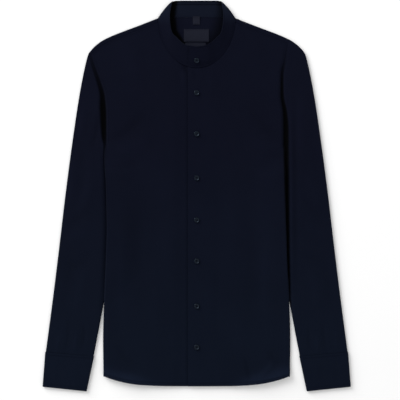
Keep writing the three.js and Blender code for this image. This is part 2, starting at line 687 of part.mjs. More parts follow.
const onYoke = () => YOKE_CLOTH;
const bandRise = (y) => Math.max(0, (y - NECK_TOP) / (BAND_BACK_TOP - NECK_TOP));
const bandFace = (y) => BAND_CLOTH * ease(NECK_TOP - LABEL_CLIMB, NECK_TOP, y) + bandUnder(bandRise(y));
const onNeck = (y) => Math.max(YOKE_CLOTH, bandFace(y));
add("label_neck", label(LABELS.neck, onYoke), labelCloth);
add("label_size", label(LABELS.size, onNeck), labelCloth);
add("label_fit", label(LABELS.fit, onYoke), labelCloth);

export default group;
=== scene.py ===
"""A mandarin collar shirt laid flat on its back, front up, sleeves down its sides.

Shapes are worked out in millimetres and put into meshes in metres. X runs to the wearer's left, Y up to the
collar and Z up from the surface. "right" and "left" are the wearer's.
"""
import math

import bpy
import numpy as np
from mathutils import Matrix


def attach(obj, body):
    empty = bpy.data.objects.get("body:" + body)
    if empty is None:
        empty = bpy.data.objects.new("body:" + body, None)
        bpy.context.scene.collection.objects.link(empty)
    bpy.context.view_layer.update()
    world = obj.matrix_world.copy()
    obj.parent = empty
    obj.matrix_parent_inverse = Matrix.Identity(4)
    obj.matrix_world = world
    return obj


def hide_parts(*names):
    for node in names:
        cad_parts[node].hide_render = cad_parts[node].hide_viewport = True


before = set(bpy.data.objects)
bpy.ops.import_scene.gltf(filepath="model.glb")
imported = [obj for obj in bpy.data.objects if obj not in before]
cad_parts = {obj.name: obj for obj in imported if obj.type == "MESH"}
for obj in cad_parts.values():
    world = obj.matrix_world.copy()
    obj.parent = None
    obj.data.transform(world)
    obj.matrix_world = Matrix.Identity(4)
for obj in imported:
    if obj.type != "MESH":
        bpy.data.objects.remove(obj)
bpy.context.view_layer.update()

bl_info = {
    "name": "Mandarin collar shirt",
    "version": (1, 0, 0),
    "blender": (4, 5, 0),
    "location": "3D View > Sidebar > Shirt",
    "description": "Builds a band collar shirt laid flat, with its cloth, buttons and stitching",
    "category": "Add Mesh",
}

MM = 0.001
SIGN = {"right": -1, "left": 1}
HALF_TURN = np.linspace(-np.pi / 2, np.pi / 2, 13)

# Layers of the garment as it lies
SEAM = 0.3
LOFT = 5.2
ROLL = LOFT / 2
ROLL_FULL = 80
WALL = {"shirting": 0.8, "yoke": 1.5, "cuff": 1.8, "band": 2.0, "label": 0.6}
UNDERLAP = {"least": 2, "most": 30, "full": 0}
# Each front's reach over the middle, how far it rises or dips there, and where its hem's stitches start
LAP = {
    "right": {"over": 15, "rise": -1.0, "stitched": 22},
    "left": {"over": 18, "rise": 0.5, "stitched": -17},
}
LAP_SLOPE = (50, 26)
TUCK = {"lift": 4.2, "slope": 60, "clear": 2, "top": (80, 44), "foot": (-226, -162)}
PRESSED = {"height": 3.9, "beside": (10, 1), "top": (100, 74), "foot": (-262, -226)}

# Heights up the garment
UNDERARM = 105
YOKE_SEAM = 262
YOKE_FRONT = 9
HEM = {"middle": -389.3, "rise": 20.3, "corner": -369, "half": 190, "power": 3.7}

# The neck seam: a half ellipse in front, nearly straight behind
NECK_HALF = 79.4
NECK_TOP = 365
NECK_DROP = 102.3
NECK_BACK_RISE = 1.7

# The outline from the neck over the shoulder and down the sleeve to the cuff
OUTLINE = {
    "y": (364.7, 352.8, 324.1, 315.9, 303.6, 291.3, 279, 238, 197, 94.5, -8, -110.5, -213, -319.6),
    "x": (79.7, 110, 183.4, 198, 212.7, 222, 225.8, 234.8, 242.2, 257.2, 270.5, 282.6, 295.3, 309.5),
}
# Armhole seams
ARMHOLE = {
    "right": {
        "y": (296.4, 285, 262.6, 234, 205, 167, 105),
        "x": (218.6, 216, 208.8, 198.5, 190.3, 187.3, 187),
    },
    "left": {
        "y": (321.4, 283, 250, 205, 172, 140, 105),
        "x": (188.8, 181.7, 174.6, 174.1, 178.7, 179.7, 179.7),
    },
}
# Gully where the sleeve meets the body, down the armhole and beside the body: how deep the sleeve sinks in
# it, how far out it reaches and how much shade is painted into the cloth's colour there
GULLY = {
    "right": {
        "y": (296, 283, 262, 238, 205, 180, 150, 118, 105, 80, 0, -150, -223, -240),
        "depth": (0.3, 0.4, 0.8, 1.8, 3.4, 3.8, 3.8, 3.4, 2.6, 1.6, 1.2, 1, 0.6, 0),
        "reach": (2, 4, 6, 6.5, 8, 11, 10, 7, 4, 3, 3, 3, 3, 3),
        "dark": (0, 0.35, 0.6, 0.75, 0.9, 1, 1, 0.9, 0.6, 0.35, 0.25, 0.2, 0.1, 0),
    },
    "left": {
        "y": (321, 283, 254, 230, 205, 172, 140, 105, 60, -8, -90, -172, -223, -240),
        "depth": (0.4, 0.9, 2.6, 3.4, 3.6, 3.8, 3.8, 3.8, 2.5, 2.5, 2.4, 2, 1, 0),
        "reach": (2, 3, 4, 4, 5, 7, 9, 9.5, 9, 8, 6.5, 5, 4, 3),
        "dark": (0, 0.3, 0.7, 0.9, 0.9, 1, 1, 1, 1, 1, 1, 0.95, 0.6, 0),
    },
}
# Shares of the gully's reach at which its depth and its painted shade start to fade and are gone
GULLY_WALL = (0.35, 1.35)
GULLY_PAINTED_SHADE = (0.7, 1.25)
GULLY_FLOOR = 1.3
# Painted shade on a front beside its armhole and side fold: its width, and the heights over which it fades in
ARMHOLE_PAINTED_SHADE = {"width": 2.6, "fade": (-120, 40)}

# Grooves along seams, edges and rows of stitches: depth and width
YOKE_GROOVE = (0.3, 1.6)
NECK_GROOVE = (0.35, 2.4)
LAP_GROOVE = (0.9, 3.4)
HEM_GROOVE = (0.55, 0.9)
CUFF_GROOVE = (0.22, 0.02)
BAND_GROOVE = (0.2, 0.03)
FACING_GROOVE = (0.8, 0.03)
ARM_GROOVE = {"share": 0.85, "width": 3.2, "fade": 12}

# The hem: its turned step, its stitches with shade painted along them, and a painted highlight above its
# lifted corners
HEM_STEP = {"height": 1.1, "up": (9.6, 6.8)}
HEM_PUCKER = {"height": 0.22, "length": 2.1, "drift": 0.7, "drift_length": 9, "up": 5, "width": 4}
HEM_STITCH = {"up": 6.6, "width": 1.1, "shade": 0.3}
HEM_PAINTED_HIGHLIGHT = {"up": 11, "width": 8, "across": (60, 150), "share": 0.36}
# Painted shade in the creases' troughs and painted highlight on their ridges: the share of the colour that a
# millimetre of trough loses and a ridge gains, and the most of it
CREASE_PAINTED_SHADING = {"each": 0.1, "most": 0.13}
# Seam allowance: how far the sleeve's cloth runs on under the body's along the armhole, and how far it drops
TURN_IN = {"in": (0.5, 1.2, 2.4), "drop": (0.35, 0.9, 1.3), "rise": 0.3}
# The sleeve's and the body's folds lean on each other below the underarm and where the sleeve leaves the
# body: by how much, and the heights between which that fades in and out
LEANING = {"sleeve": 3.2, "body": 1}
LEANING_RANGES = (((120, 106), (28, 46)), ((-150, -180), (-218, -206)))
ARM_STATIONS = (105, 130, 155, 180, 205, 233, 262)
BODY_EDGE = {
    "y": (105, 80, 33, -69.5, -131, -192.5, -223, -295, -369),
    "right": (186.7, 188.5, 186, 184, 186, 187.8, 190, 192, 191),
    "left": (179.4, 180.1, 181, 183.4, 185.2, 187.8, 190, 192, 191),
}
SLEEVE_INNER = {
    "y": (105, 90, 70, 45, 10, -30, -90, -150, -213, -274.5, -328),
    "right": (187.15, 189.2, 188.4, 180, 168, 162, 167, 177.5, 189.6, 201, 211.4),
    "left": (179.85, 181.7, 182, 173, 163, 160, 166, 176.5, 189.6, 201, 211.4),
}
SLEEVE_ROWS = {
    "at": (0, 0.2, 0.4, 0.6, 0.75, 0.86, 1),
    "outer": (0, 0.24, 0.47, 0.7, 0.86, 0.935, 1),
    "inner": (0, 0.29, 0.57, 0.84, 0.955, 0.98, 1),
    "loft": (5, 5.8, 6, 5.8, 5.2, 5.2, 5.2),
}
# Distances over which creases and waves fade in from the sleeve's outer fold and from the neck seam
SLEEVE_CALM = (0, 14)
NECK_CALM = (2, 24)
CUFF_SEAM = {"outer": -319.6, "inner": -328}
CUFF_END = {"outer": (316, -390.5), "inner": (225.6, -399.9)}
CUFF_LOFT = 6.2
CUFF_STEP = 1
CUFF_ROWS = (0.07, 0.92)
# How far the cuff's upper face comes down at its seam and at its free end, and over which share of it
CUFF_ENDS = {"seam": (0.2, 0.02), "free": (0.5, 0.012)}

# The collar band: the mouth's edge from the front middle to the side fold, and its heights
MOUTH = {
    "at": (0, 0.2, 0.4, 0.6, 0.8, 1),
    "x": (0, 21, 38, 52, 55, 50),
    "y": (304.6, 308, 320.5, 340, 369, 399.8),
}
BAND_FOLD = {"seam": (NECK_HALF - SEAM / 2, NECK_TOP + SEAM / 2), "edge": (50, 399.8)}
BAND_BULGE = 1.5
BAND_BOW = 0.75
BAND_BACK = {"seam": 0, "edge": 8, "power": 1.2}
BAND_FRONT = {"seam": 5.4, "edge": 14, "power": 1.1}
BAND_LAP = {"slope": (34, 18), "least": 0.4, "full": 0.3}
BAND_HOLLOW = {"x": -40, "slope": 9, "depth": 2}
BAND_SIDE_DROP = {"drop": 3.6, "across": (0.55, 0.94)}
BAND_CORNER = {"drop": 1.5, "reach": 8}
BAND_ROWS = (0.09, 0.93)
FACING_ROWS = (0.74, 0.9)
# Painted shade along the facing's two rows of stitches: its share of the colour and its width
FACING_PAINTED_SHADE = (0.6, 0.05)
# How far in from the mouth's edge shade is painted on the inside of the neck, by height, on each side
NECK_PAINTED_SHADE = {"y": (303, 312, 325, 340, 400), "right": (0, 7, 11, 12, 11), "left": (0, 18, 28, 28, 10)}
# How deep that painted shade is on each side, and the shares of its reach at which it starts to fade and is gone
NECK_PAINTED_SHADE_DEPTH = {"right": 1, "left": 0.65}
NECK_PAINTED_SHADE_ENDS = {"right": (0.75, 1.25), "left": (0, 1.25)}

# A button's dish, the pairs of radius and height round its rim and its four holes
BUTTON_DISH = {"steps": 19, "radius": (0, 3.0, 3.6), "height": (1.7, 1.7, 1.85)}
BUTTON_RIM = (
    (3.9, 2.08), (4.2, 2.3), (4.5, 2.4), (4.8, 2.38), (5.05, 2.26), (5.3, 1.95), (5.45, 1.6), (5.5, 1.2),
    (5.42, 0.75), (5.2, 0.35), (4.8, 0.08), (3, 0), (0, 0),
)
BUTTON_HOLE = {"edge": (1.0, 0.55), "spread": 1.5, "sink": 1.2}
BUTTON_THREAD = {"x": (-1.26, -0.86, 0.86, 1.26), "reach": 2.4, "height": 1.6, "points": 9}
BUTTON_PULL = {"dish": (0.28, 9), "squash": 1.25, "ridge": (0.16, 3.5), "beside": 13, "length": 9}
BUTTON_ROWS = (211.4, 127.3, 37.1, -49, -133, -225.3, -309.3)
BAND_BUTTON_Y = 277

LABELS = {
    "neck": {"x": (-26.3, 25), "y": (316.5, 342.5), "on": "yoke"},
    "size": {"x": (-7.9, 6.5), "y": (351.8, 368.6), "on": "band"},
    "fit": {"x": (-23.5, 18.5), "y": (300, 314.5), "on": "yoke"},
}
LABEL_CLIMB = 8
LABEL_PUFF = 0.35
LABEL_RIPPLE = {"height": 0.08, "length": 3.1}

# Stitches: their rings along their length, each ring's share of the thickness, and how they arch
STITCH = {"at": (-0.5, -0.42, -0.2, 0.2, 0.42, 0.5), "thick": (0.25, 0.8, 1, 1, 0.8, 0.25), "sides": 6}
STITCH_ARCH = (1.2, 5.6)
STITCH_SINK = 0.2
# Distances of the rows of stitches from the armhole's and the yoke's seam
ARM_ROW = 6.5
YOKE_ROW = 2.2

# Uneven shallow waves: their height and two crossed sines, each with its lengths along X and Y and its start
WAVES = (
    (0.16, (31, 83, 1.1), (-140, 57, 0.4)),
    (0.06, (17, -29, 2.3), (37, 21, 0.9)),
)
# Soft ridges (height above 0) and troughs, each from one end to the other along a shallow bow:
# x and y of its two ends, bow, width, height
LARGEST_FOLDS = (
    (-226, 98, -244, -10, 0, 9, -0.8),
    (-214, 60, -226, -60, 0, 12, 0.6),
    (236, 150, 250, 40, 0, 12, -0.6),
    (-40, 286, -90, 318, 0, 11, 0.5),
    (60, 250, 150, 225, 0, 16, -0.5),
)
FRONT_CREASES = (
    # Drag lines from the underarms across the chest
    (-178, 112, -104, 172, 7, 10, -0.8),
    (-180, 90, -92, 126, 9, 13, 0.7),
    (-176, 60, -118, 70, 4, 9, -0.5),
    (172, 116, 112, 178, -6, 9, -0.8),
    (173, 96, 98, 122, -7, 12, 0.6),
    (174, 40, 120, 44, -4, 10, 0.4),
    # Over the chest from the shoulders and the neck
    (-150, 326, -122, 240, 5, 13, 0.5),
    (-112, 316, -96, 214, 4, 10, -0.45),
    (128, 330, 146, 232, -5, 12, -0.5),
    (96, 318, 86, 226, 4, 14, 0.4),
    (-44, 292, -18, 262, 2, 4, 1.1),
    (-38, 284, -20, 262, 2, 3.5, -1.5),
    (-26, 268, -14, 250, 2, 3.5, -1.6),
    (-30, 258, -23, 226, 1, 5, 0.7),
    (-8, 258, 2, 234, 0, 4, -0.7),
    (24, 262, 36, 216, 1, 7, 0.35),
    # Long quiet waves over the belly
    (-62, 60, -52, -190, 7, 17, 0.45),
    (-122, 10, -110, -236, 8, 15, -0.5),
    (-150, -60, -146, -300, 5, 10, 0.45),
    (-84, -150, -92, -330, -5, 12, 0.4),
    (66, 70, 58, -170, -6, 19, 0.45),
    (112, -20, 104, -250, -7, 14, -0.45),
    (144, -70, 150, -310, 5, 11, 0.5),
    (84, -190, 92, -350, 4, 12, 0.35),
    (40, -120, 34, -300, -3, 9, -0.3),
    # The hem lifts at its corners
    (-206, -362, -104, -392, 2, 14, 5.2),
    (-150, -384, -60, -391, 2, 7, 2.0),
    (-190, -326, -172, -362, 4, 9, 1.4),
    (-168, -300, -120, -356, 6, 10, -0.8),
    (98, -330, 112, -398, -2, 5, -1.2),
    (98, -393, 206, -362, -2, 15, 5.6),
    (62, -391, 122, -388, -1, 7, 2.0),
    (126, -372, 158, -340, 3, 6, 1.4),
    (150, -316, 172, -352, 3, 8, -0.8),
    (-40, -346, -30, -394, 2, 8, -0.4),
    (44, -350, 50, -396, 2, 7, 0.5),
    # The side seam's edge shows through beside the fold
    (-182.5, -224, -182, -330, 0, 2.2, 0.4),
    (182, -240, 182.5, -350, 0, 2.4, 0.3),
)
SLEEVE_CREASES = (
    # Right sleeve
    (-200, 170, -214, 96, -3, 6, -0.9),
    (-232, 178, -236, 110, 2, 8, 0.7),
    (-224, 60, -236, 4, 2, 5, -0.5),
    (-252, 90, -262, -40, 3, 7, 0.5),
    (-206, 30, -240, -44, 5, 8, 0.5),
    (-214, -30, -262, -66, 4, 9, -0.7),
    (-222, -78, -270, -92, 3, 10, 0.6),
    (-216, -120, -262, -150, -4, 9, -0.5),
    (-228, -150, -244, -250, 4, 9, 0.5),
    (-258, -130, -276, -240, -3, 10, -0.5),
    (-236, -318, -230, -262, 2, 4, -0.9),
    (-252, -321, -246, -278, 1, 3.5, 0.8),
    (-268, -322, -262, -250, 2, 4.5, -0.8),
    (-288, -320, -280, -284, 1, 4, 0.6),
    # Left sleeve
    (193, 184, 194, -190, 0, 4.5, 0.8),
    (203, 190, 204, -190, 0, 5, -1.0),
    (214, 214, 218, 70, 3, 9, 0.6),
    (232, 210, 244, 120, -3, 8, -0.5),
    (222, 40, 252, -22, -5, 9, 0.6),
    (214, -6, 258, -58, -4, 8, -0.7),
    (220, -66, 268, -84, -3, 10, 0.5),
    (214, -118, 264, -132, 4, 9, -0.5),
    (230, -140, 248, -244, -4, 10, 0.5),
    (262, -120, 280, -230, 3, 9, -0.5),
    (234, -319, 230, -270, -2, 4, -0.8),
    (249, -321, 246, -284, -1, 3.5, 0.7),
    (266, -322, 260, -256, -2, 4.5, -0.9),
    (290, -320, 284, -276, -1, 4, 0.6),
)
CUFF_CREASES = (
    (-240, -336, -236, -392, 1, 6, -0.35),
    (-286, -330, -292, -388, -1, 8, 0.35),
    (244, -338, 246, -394, -1, 7, 0.35),
    (284, -332, 292, -386, 1, 6, -0.35),
)

# Width of a thread of the cloth, in metres
WEAVE_THREAD = 0.00045
# Heights over which the tone drifts from its first to its second colour, in metres: the shirting gets darker
# towards the neck, and the collar band goes from painted shade on its front to painted light on its facing
DRIFT = {"shirting": (-0.3, 0.12), "collar": (0.35, 0.375), "label": (0, 1)}
LABEL_SHEEN = 0.05

# The stage, in metres. The camera stands over the photograph's middle, a little off the garment's own
FLOOR = {"half": 3.0, "below": 0.0003}
KEY_LIGHT = {"size": 3.6, "place": (-3.8, 3.6, 2.45)}
CAMERA = {"x": 0.0068, "y": -0.008, "sensor": 36, "far": 20}


def mix(start, end, share):
    return start + (end - start) * share


def ease(start, end, value):
    """Smooth step: 3t^2 - 2t^3 of the share t of the way from start to end."""
    share = np.clip((value - start) / (end - start), 0, 1)
    return share * share * (3 - 2 * share)


def bell(distance, height, width):
    return height * np.exp(-((distance / width) ** 2))


def within(distance, reach, ends):
    """1 up to the first of two shares of reach, 0 past the second."""
    return ease(ends[1] * reach, ends[0] * reach, distance)


def curve(table, column, at, by="y"):
    """Monotone cubic curve through a table: harmonic mean slopes, so it never overshoots its rows."""
    order = np.argsort(table[by])
    known_at = np.array(table[by], float)[order]
    known = np.array(table[column], float)[order]
    rise = np.diff(known) / np.diff(known_at)
    before = np.concatenate([rise[:1], rise])
    after = np.concatenate([rise, rise[-1:]])
    agree = before * after > 0
    slope = np.where(agree, 2 * before * after / np.where(agree, before + after, 1), 0)
    k = np.clip(np.searchsorted(known_at, at, side="right") - 1, 0, len(known_at) - 2)
    span = known_at[k + 1] - known_at[k]
    t = (at - known_at[k]) / span
    start = known[k] * (1 + 2 * t) * (1 - t) ** 2 + slope[k] * span * t * (1 - t) ** 2
    end = known[k + 1] * t * t * (3 - 2 * t) - slope[k + 1] * span * t * t * (1 - t)
    return start + end


def stretches(first, *stops):
    """Values from the first on; each later stop is (value, how many steps lead to it)."""
    values = [np.array([first], float)]
    for value, count in stops:
        values.append(np.linspace(values[-1][-1], value, count + 1)[1:])
    return np.concatenate(values)


def patch(bottom, top, start, end, u, v):
    """Patch between four edge curves: P = mix(bottom, top, v) + (start - S) (1 - u)^3 + (end - E) u^3.

    S and E are the straight lines between the corners that the start and end edges join. bottom and top are
    (len(u), 2), start and end are (len(v), 2); the result is (len(v), len(u), 2).
    """
    across = u[None, :, None]
    up = v[:, None]
    start_bow = (start - mix(bottom[0], top[0], up))[:, None]
    end_bow = (end - mix(bottom[-1], top[-1], up))[:, None]
    return mix(bottom[None], top[None], up[..., None]) + start_bow * (1 - across) ** 3 + end_bow * across**3


def creased(x, y, creases):
    """Sum of creases: each falls off as a bell across its width and eases out towards its two ends."""
    total = np.zeros(np.broadcast(x, y).shape)
    for x0, y0, x1, y1, bow, width, height in creases:
        run_x = x1 - x0
        run_y = y1 - y0
        length = math.hypot(run_x, run_y)
        along = ((x - x0) * run_x + (y - y0) * run_y) / length**2
        away = ((x - x0) * run_y - (y - y0) * run_x) / length - bow * 4 * along * (1 - along)
        ends = ease(-0.15, 0.35, along) * ease(1.15, 0.65, along)
        total += bell(away, height * ends, width)
    return total


def small_creases(x, y, creases):
    return creased(x, y, creases) * bpy.context.scene.shirt_cloth.crease_share


def waves(x, y):
    return sum(
        height * (np.sin(x / a[0] + y / a[1] + a[2]) * np.sin(x / b[0] + y / b[1] + b[2]))
        for height, a, b in WAVES
    )


def outline_x(y):
    return curve(OUTLINE, "x", y)


def hem_y(x):
    return HEM["middle"] + HEM["rise"] * np.abs(x / HEM["half"]) ** HEM["power"]


class Side:
    """One side of the garment as laid: its front's lap, its armhole, side fold and sleeve. x counts outwards."""

    def __init__(self, name):
        self.name = name
        self.sign = SIGN[name]
        self.arm_top = ARMHOLE[name]["y"][0]
        self.overlap = LAP[name]["over"]
        self.rise = LAP[name]["rise"]

    def inside(self, x, y, z):
        return self.sign * x, y, z

    def arm_x(self, y):
        return curve(ARMHOLE[self.name], "x", y)

    def edge(self, y):
        return curve(BODY_EDGE, self.name, y)

    def inner(self, y):
        return curve(SLEEVE_INNER, self.name, y)

    def gully(self, column, y):
        table = GULLY[self.name]
        return curve(table, column, np.clip(y, min(table["y"]), max(table["y"])))

    def body_x(self, y):
        """Where the sleeve leaves the body: the armhole seam, and the body's fold below it."""
        return np.where(y > UNDERARM, self.arm_x(y), self.edge(y))

    def lift(self, x, y):
        """Height of the body's underside: it climbs over the hidden part of the sleeve."""
        crest = self.inner(y) - TUCK["clear"]
        across = ease(crest - TUCK["slope"], crest, x)
        return TUCK["lift"] * across * ease(*TUCK["top"], y) * ease(*TUCK["foot"], y)

    def shoulder(self, share, inset):
        """Point of the shoulder, share of the way from the neck to the armhole, inset down the front."""
        y = mix(OUTLINE["y"][0], self.arm_top, share)
        lean = outline_x(self.arm_top) - self.arm_x(self.arm_top - inset) + SEAM / 2
        return np.stack([outline_x(y) - share * lean, y - inset], -1)

    def yoke_line(self, x):
        """Height of the yoke's front seam at x."""
        line = self.shoulder(np.linspace(0, 1, 40), YOKE_FRONT + SEAM)
        return np.interp(x, line[:, 0], line[:, 1])


RIGHT = Side("right")
LEFT = Side("left")
NECK_CORNER = math.acos((NECK_TOP - OUTLINE["y"][0] + YOKE_FRONT + SEAM) / (NECK_DROP + SEAM / 2))
NECK_ANGLES = np.array([0, 0.5, 1, 2, 3, 4, 5, 6, 7, 8]) * NECK_CORNER / 8
LEFT_LAP_ANGLE = math.asin(LEFT.overlap / NECK_HALF)
RIGHT_LAP_ANGLE = math.asin(RIGHT.overlap / NECK_HALF)
# Rows of a front below and above the underarm, and its columns over the lap, the neck and the shoulder
ROWS_BELOW = 15
ROWS_ABOVE = 7
ROW_CROWDING = 1.35
COLUMNS_LAP = 2
COLUMNS_NECK = 9
COLUMNS_SHOULDER = 6


def neck_back_y(x):
    return NECK_TOP + NECK_BACK_RISE * (1 - (x / NECK_HALF) ** 2)


def neck_front(angle, outward):
    """Half ellipse of the front neck seam, moved outward; angle 0 is its middle."""
    return np.stack([
        (NECK_HALF + outward) * np.sin(angle),
        NECK_TOP - (NECK_DROP + outward) * np.cos(angle),
    ], -1)


def neck_distance(x, y):
    """How far a point lies outside the front neck seam: the ellipse's equation over its slope."""
    down = NECK_TOP - y
    value = (x / NECK_HALF) ** 2 + (down / NECK_DROP) ** 2 - 1
    slope = 2 * np.hypot(x / NECK_HALF**2, down / NECK_DROP**2)
    return value / slope


def roll_at(y):
    return mix(ROLL / 2, ROLL, ease(UNDERARM, ROLL_FULL, y))


def underlap_at(y):
    return mix(UNDERLAP["least"], UNDERLAP["most"], ease(UNDERARM, UNDERLAP["full"], y))


def leaning(y):
    return sum(ease(*top, y) * ease(*foot, y) for top, foot in LEANING_RANGES)


def side_heights(side, row):
    """Heights of a front's side edge by row: crowding from the hem corner to the underarm, then stations."""
    hem_corner = hem_y(side.edge(HEM["corner"]))
    below = mix(hem_corner, UNDERARM, 1 - (1 - np.clip(row / ROWS_BELOW, 0, 1)) ** ROW_CROWDING)
    stations = [*ARM_STATIONS, side.arm_top - YOKE_FRONT - SEAM]
    above = np.interp(row, ROWS_BELOW + np.arange(ROWS_ABOVE + 1), stations)
    return np.where(row <= ROWS_BELOW, below, above)


def button_pull(x, y):
    """Small pull of the cloth round each button: a shallow dish with a faint cross ridge."""
    total = np.zeros(np.broadcast(x, y).shape)
    for row in BUTTON_ROWS:
        total -= bell(np.hypot(x, (y - row) * BUTTON_PULL["squash"]), *BUTTON_PULL["dish"])
        total += bell(x - BUTTON_PULL["beside"], bell(y - row, *BUTTON_PULL["ridge"]), BUTTON_PULL["length"])
    return total


def hem_band(x, y):
    """Turned hem: a step up, its stitched groove and small puckers that run across it."""
    up = y - hem_y(x)
    drift = HEM_PUCKER["drift"] * np.sin(x / HEM_PUCKER["drift_length"])
    pucker = HEM_PUCKER["height"] * np.sin(x / HEM_PUCKER["length"] + drift)
    return (HEM_STEP["height"] * ease(*HEM_STEP["up"], up) - bell(up - HEM_STITCH["up"], *HEM_GROOVE)
            + bell(up - HEM_PUCKER["up"], pucker, HEM_PUCKER["width"]))


def front_height(side, x, y):
    """Height of a front's upper face at side coordinates: its loft, folds, creases, hem band and grooves."""
    across = side.sign * x
    from_neck = neck_distance(x, y)
    top = LOFT + side.lift(x, y) + side.rise * ease(*LAP_SLOPE, x)
    top = top + creased(across, y, LARGEST_FOLDS) + small_creases(across, y, FRONT_CREASES)
    top = top + waves(across, y) * ease(*NECK_CALM, from_neck) + button_pull(across, y)
    top = top + hem_band(across, y)
    # The cloth sinks into the armhole seam and under the upper front's edge
    sunk = ARM_GROOVE["share"] * side.gully("depth", y) * ease(UNDERARM - ARM_GROOVE["fade"], UNDERARM, y)
    top = top - bell(np.maximum(side.arm_x(y) - x, 0), sunk, ARM_GROOVE["width"])
    top = top - bell(side.yoke_line(x) - y, *YOKE_GROOVE)
    top = top - bell(from_neck, *NECK_GROOVE)
    if side.rise < 0:
        top = top - bell(across + LEFT.overlap, *LAP_GROOVE)
    return top


def front_surface(side):
    """Front panel: upper face between hem, placket, neck with shoulder and side; then the half-round side
    fold and the strip that wraps to the side seam. Returns its points and which cells are cloth."""
    last_row = ROWS_BELOW + ROWS_ABOVE
    row = stretches(0, (0.3, 10), (ROWS_BELOW, 150), (last_row - 0.3, 54), (last_row, 6))
    neck_end = COLUMNS_LAP + COLUMNS_NECK
    columns = neck_end + COLUMNS_SHOULDER
    column = stretches(0, (0.3, 4), (neck_end, 50), (columns - 0.6, 27), (columns, 8))
    u = column / columns
    v = row / last_row
    y = side_heights(side, row)
    side_x = np.where(y > UNDERARM, side.arm_x(y) - SEAM / 2, side.edge(y) - roll_at(y))
    lap_angle = math.asin(side.overlap / NECK_HALF)
    angles = [-lap_angle, -lap_angle / 2, *NECK_ANGLES]
    neck = neck_front(np.interp(column, np.arange(len(angles)), angles), SEAM / 2)
    share = np.clip((column - neck_end) / COLUMNS_SHOULDER, 0, 1)
    top = np.where((column <= neck_end)[:, None], neck, side.shoulder(share, YOKE_FRONT + SEAM))
    bottom_x = mix(-side.overlap, side_x[0], u)
    bottom = np.stack([bottom_x, hem_y(bottom_x)], -1)
    middle = np.stack([np.full_like(v, -side.overlap), mix(hem_y(side.overlap), top[0, 1], v)], -1)
    flat = patch(bottom, top, middle, np.stack([side_x, y], -1), u, v)
    face = np.concatenate([flat, front_height(side, flat[..., 0], flat[..., 1])[..., None]], -1)

    # Half-round fold: from the upper face's height down to the underside's
    turn = -HALF_TURN[1:]
    low = side.lift(side_x, y)[:, None]
    high = face[:, -1:, 2]
    lean = LEANING["body"] * leaning(y)[:, None]
    fold_x = side_x[:, None] + roll_at(y)[:, None] * np.cos(turn) + lean * np.cos(turn) ** 2
    fold_z = (low + high) / 2 + (high - low) / 2 * np.sin(turn)
    strip_x = side_x[:, None] - underlap_at(y)[:, None] * np.linspace(0, 1, 7)[1:]
    strip_z = side.lift(strip_x, y[:, None])
    wrap_x = np.concatenate([fold_x, strip_x], 1)
    wrap_y = np.where((row == 0)[:, None], hem_y(wrap_x), y[:, None])
    wrap = np.stack([wrap_x, wrap_y, np.concatenate([fold_z, strip_z], 1)], -1)

    points = np.concatenate([face, wrap], 1)
    points[..., 0] *= side.sign
    cells = np.ones((len(row) - 1, points.shape[1] - 1), bool)
    cells[row[1:] > ROWS_BELOW, len(column) - 1:] = False
    return points, cells


def back_surface():
    """Back panel: flat between its side seams, climbing a little over the sleeves tucked under it."""
    row = stretches(0, (ROWS_BELOW, 90), (ROWS_BELOW + ROWS_ABOVE - 1, 24))
    y = side_heights(RIGHT, row)
    y[-1] = YOKE_SEAM - SEAM
    edges = []
    for side in (RIGHT, LEFT):
        wrapped = side.edge(y) - roll_at(y) - underlap_at(y) - SEAM
        edges.append(np.where(y > UNDERARM, side.arm_x(y) - SEAM / 2, wrapped)[:, None])
    share = 0.5 - 0.5 * np.cos(np.linspace(0, np.pi, 61))
    x = mix(-edges[0], edges[1], share)
    height = np.where(x < 0, RIGHT.lift(-x, y[:, None]), LEFT.lift(x, y[:, None]))
    along = np.repeat(y[:, None], len(share), 1)
    along[0] = hem_y(x[0])
    return np.stack([x, along, height], -1)


def yoke_surface():
    """Yoke: flat behind the neck, and over each shoulder in a half-round fold onto the front."""
    shoulder_share = np.linspace(1, 0, 31)
    neck_x = np.linspace(-1, 1, 41)[1:-1] * OUTLINE["x"][0]
    count = 2 * len(shoulder_share) + len(neck_x)
    is_neck = np.zeros(count, bool)
    is_neck[len(shoulder_share):-len(shoulder_share)] = True

    def fold_edge(inset):
        right = RIGHT.shoulder(shoulder_share, inset) * (-1, 1)
        left = LEFT.shoulder(shoulder_share[::-1], inset)
        neck = np.stack([neck_x, neck_back_y(neck_x) - SEAM / 2], -1)
        return np.concatenate([right, neck, left])

    def side_x(side, y):
        return side.sign * (side.arm_x(y) - SEAM / 2)

    edge = fold_edge(0)
    low_share = (edge[:, 0] - edge[0, 0]) / (edge[-1, 0] - edge[0, 0])
    low_x = mix(side_x(RIGHT, YOKE_SEAM), side_x(LEFT, YOKE_SEAM), low_share)
    low = np.stack([low_x, np.full(count, YOKE_SEAM)], -1)
    rows = []
    for share in np.linspace(0, 1, 26):
        row = mix(low, fold_edge(ROLL), share)
        row[0, 0] = side_x(RIGHT, row[0, 1])
        row[-1, 0] = side_x(LEFT, row[-1, 1])
        rows.append(np.column_stack([row, np.zeros(count)]))
    flat_rows = len(rows)
    for turn in HALF_TURN[1:]:
        height = ROLL + ROLL * math.sin(turn)
        rows.append(np.column_stack([fold_edge(ROLL * (1 - math.cos(turn))), np.full(count, height)]))
    for inset in np.linspace(ROLL, YOKE_FRONT, 8)[1:]:
        height = LOFT - bell(YOKE_FRONT - inset, 0.5, YOKE_GROOVE[1])
        rows.append(np.column_stack([fold_edge(inset), np.full(count, height)]))
    cells = np.ones((len(rows) - 1, count - 1), bool)
    cells[flat_rows - 1:, is_neck[1:] | is_neck[:-1]] = False
    return np.stack(rows), cells


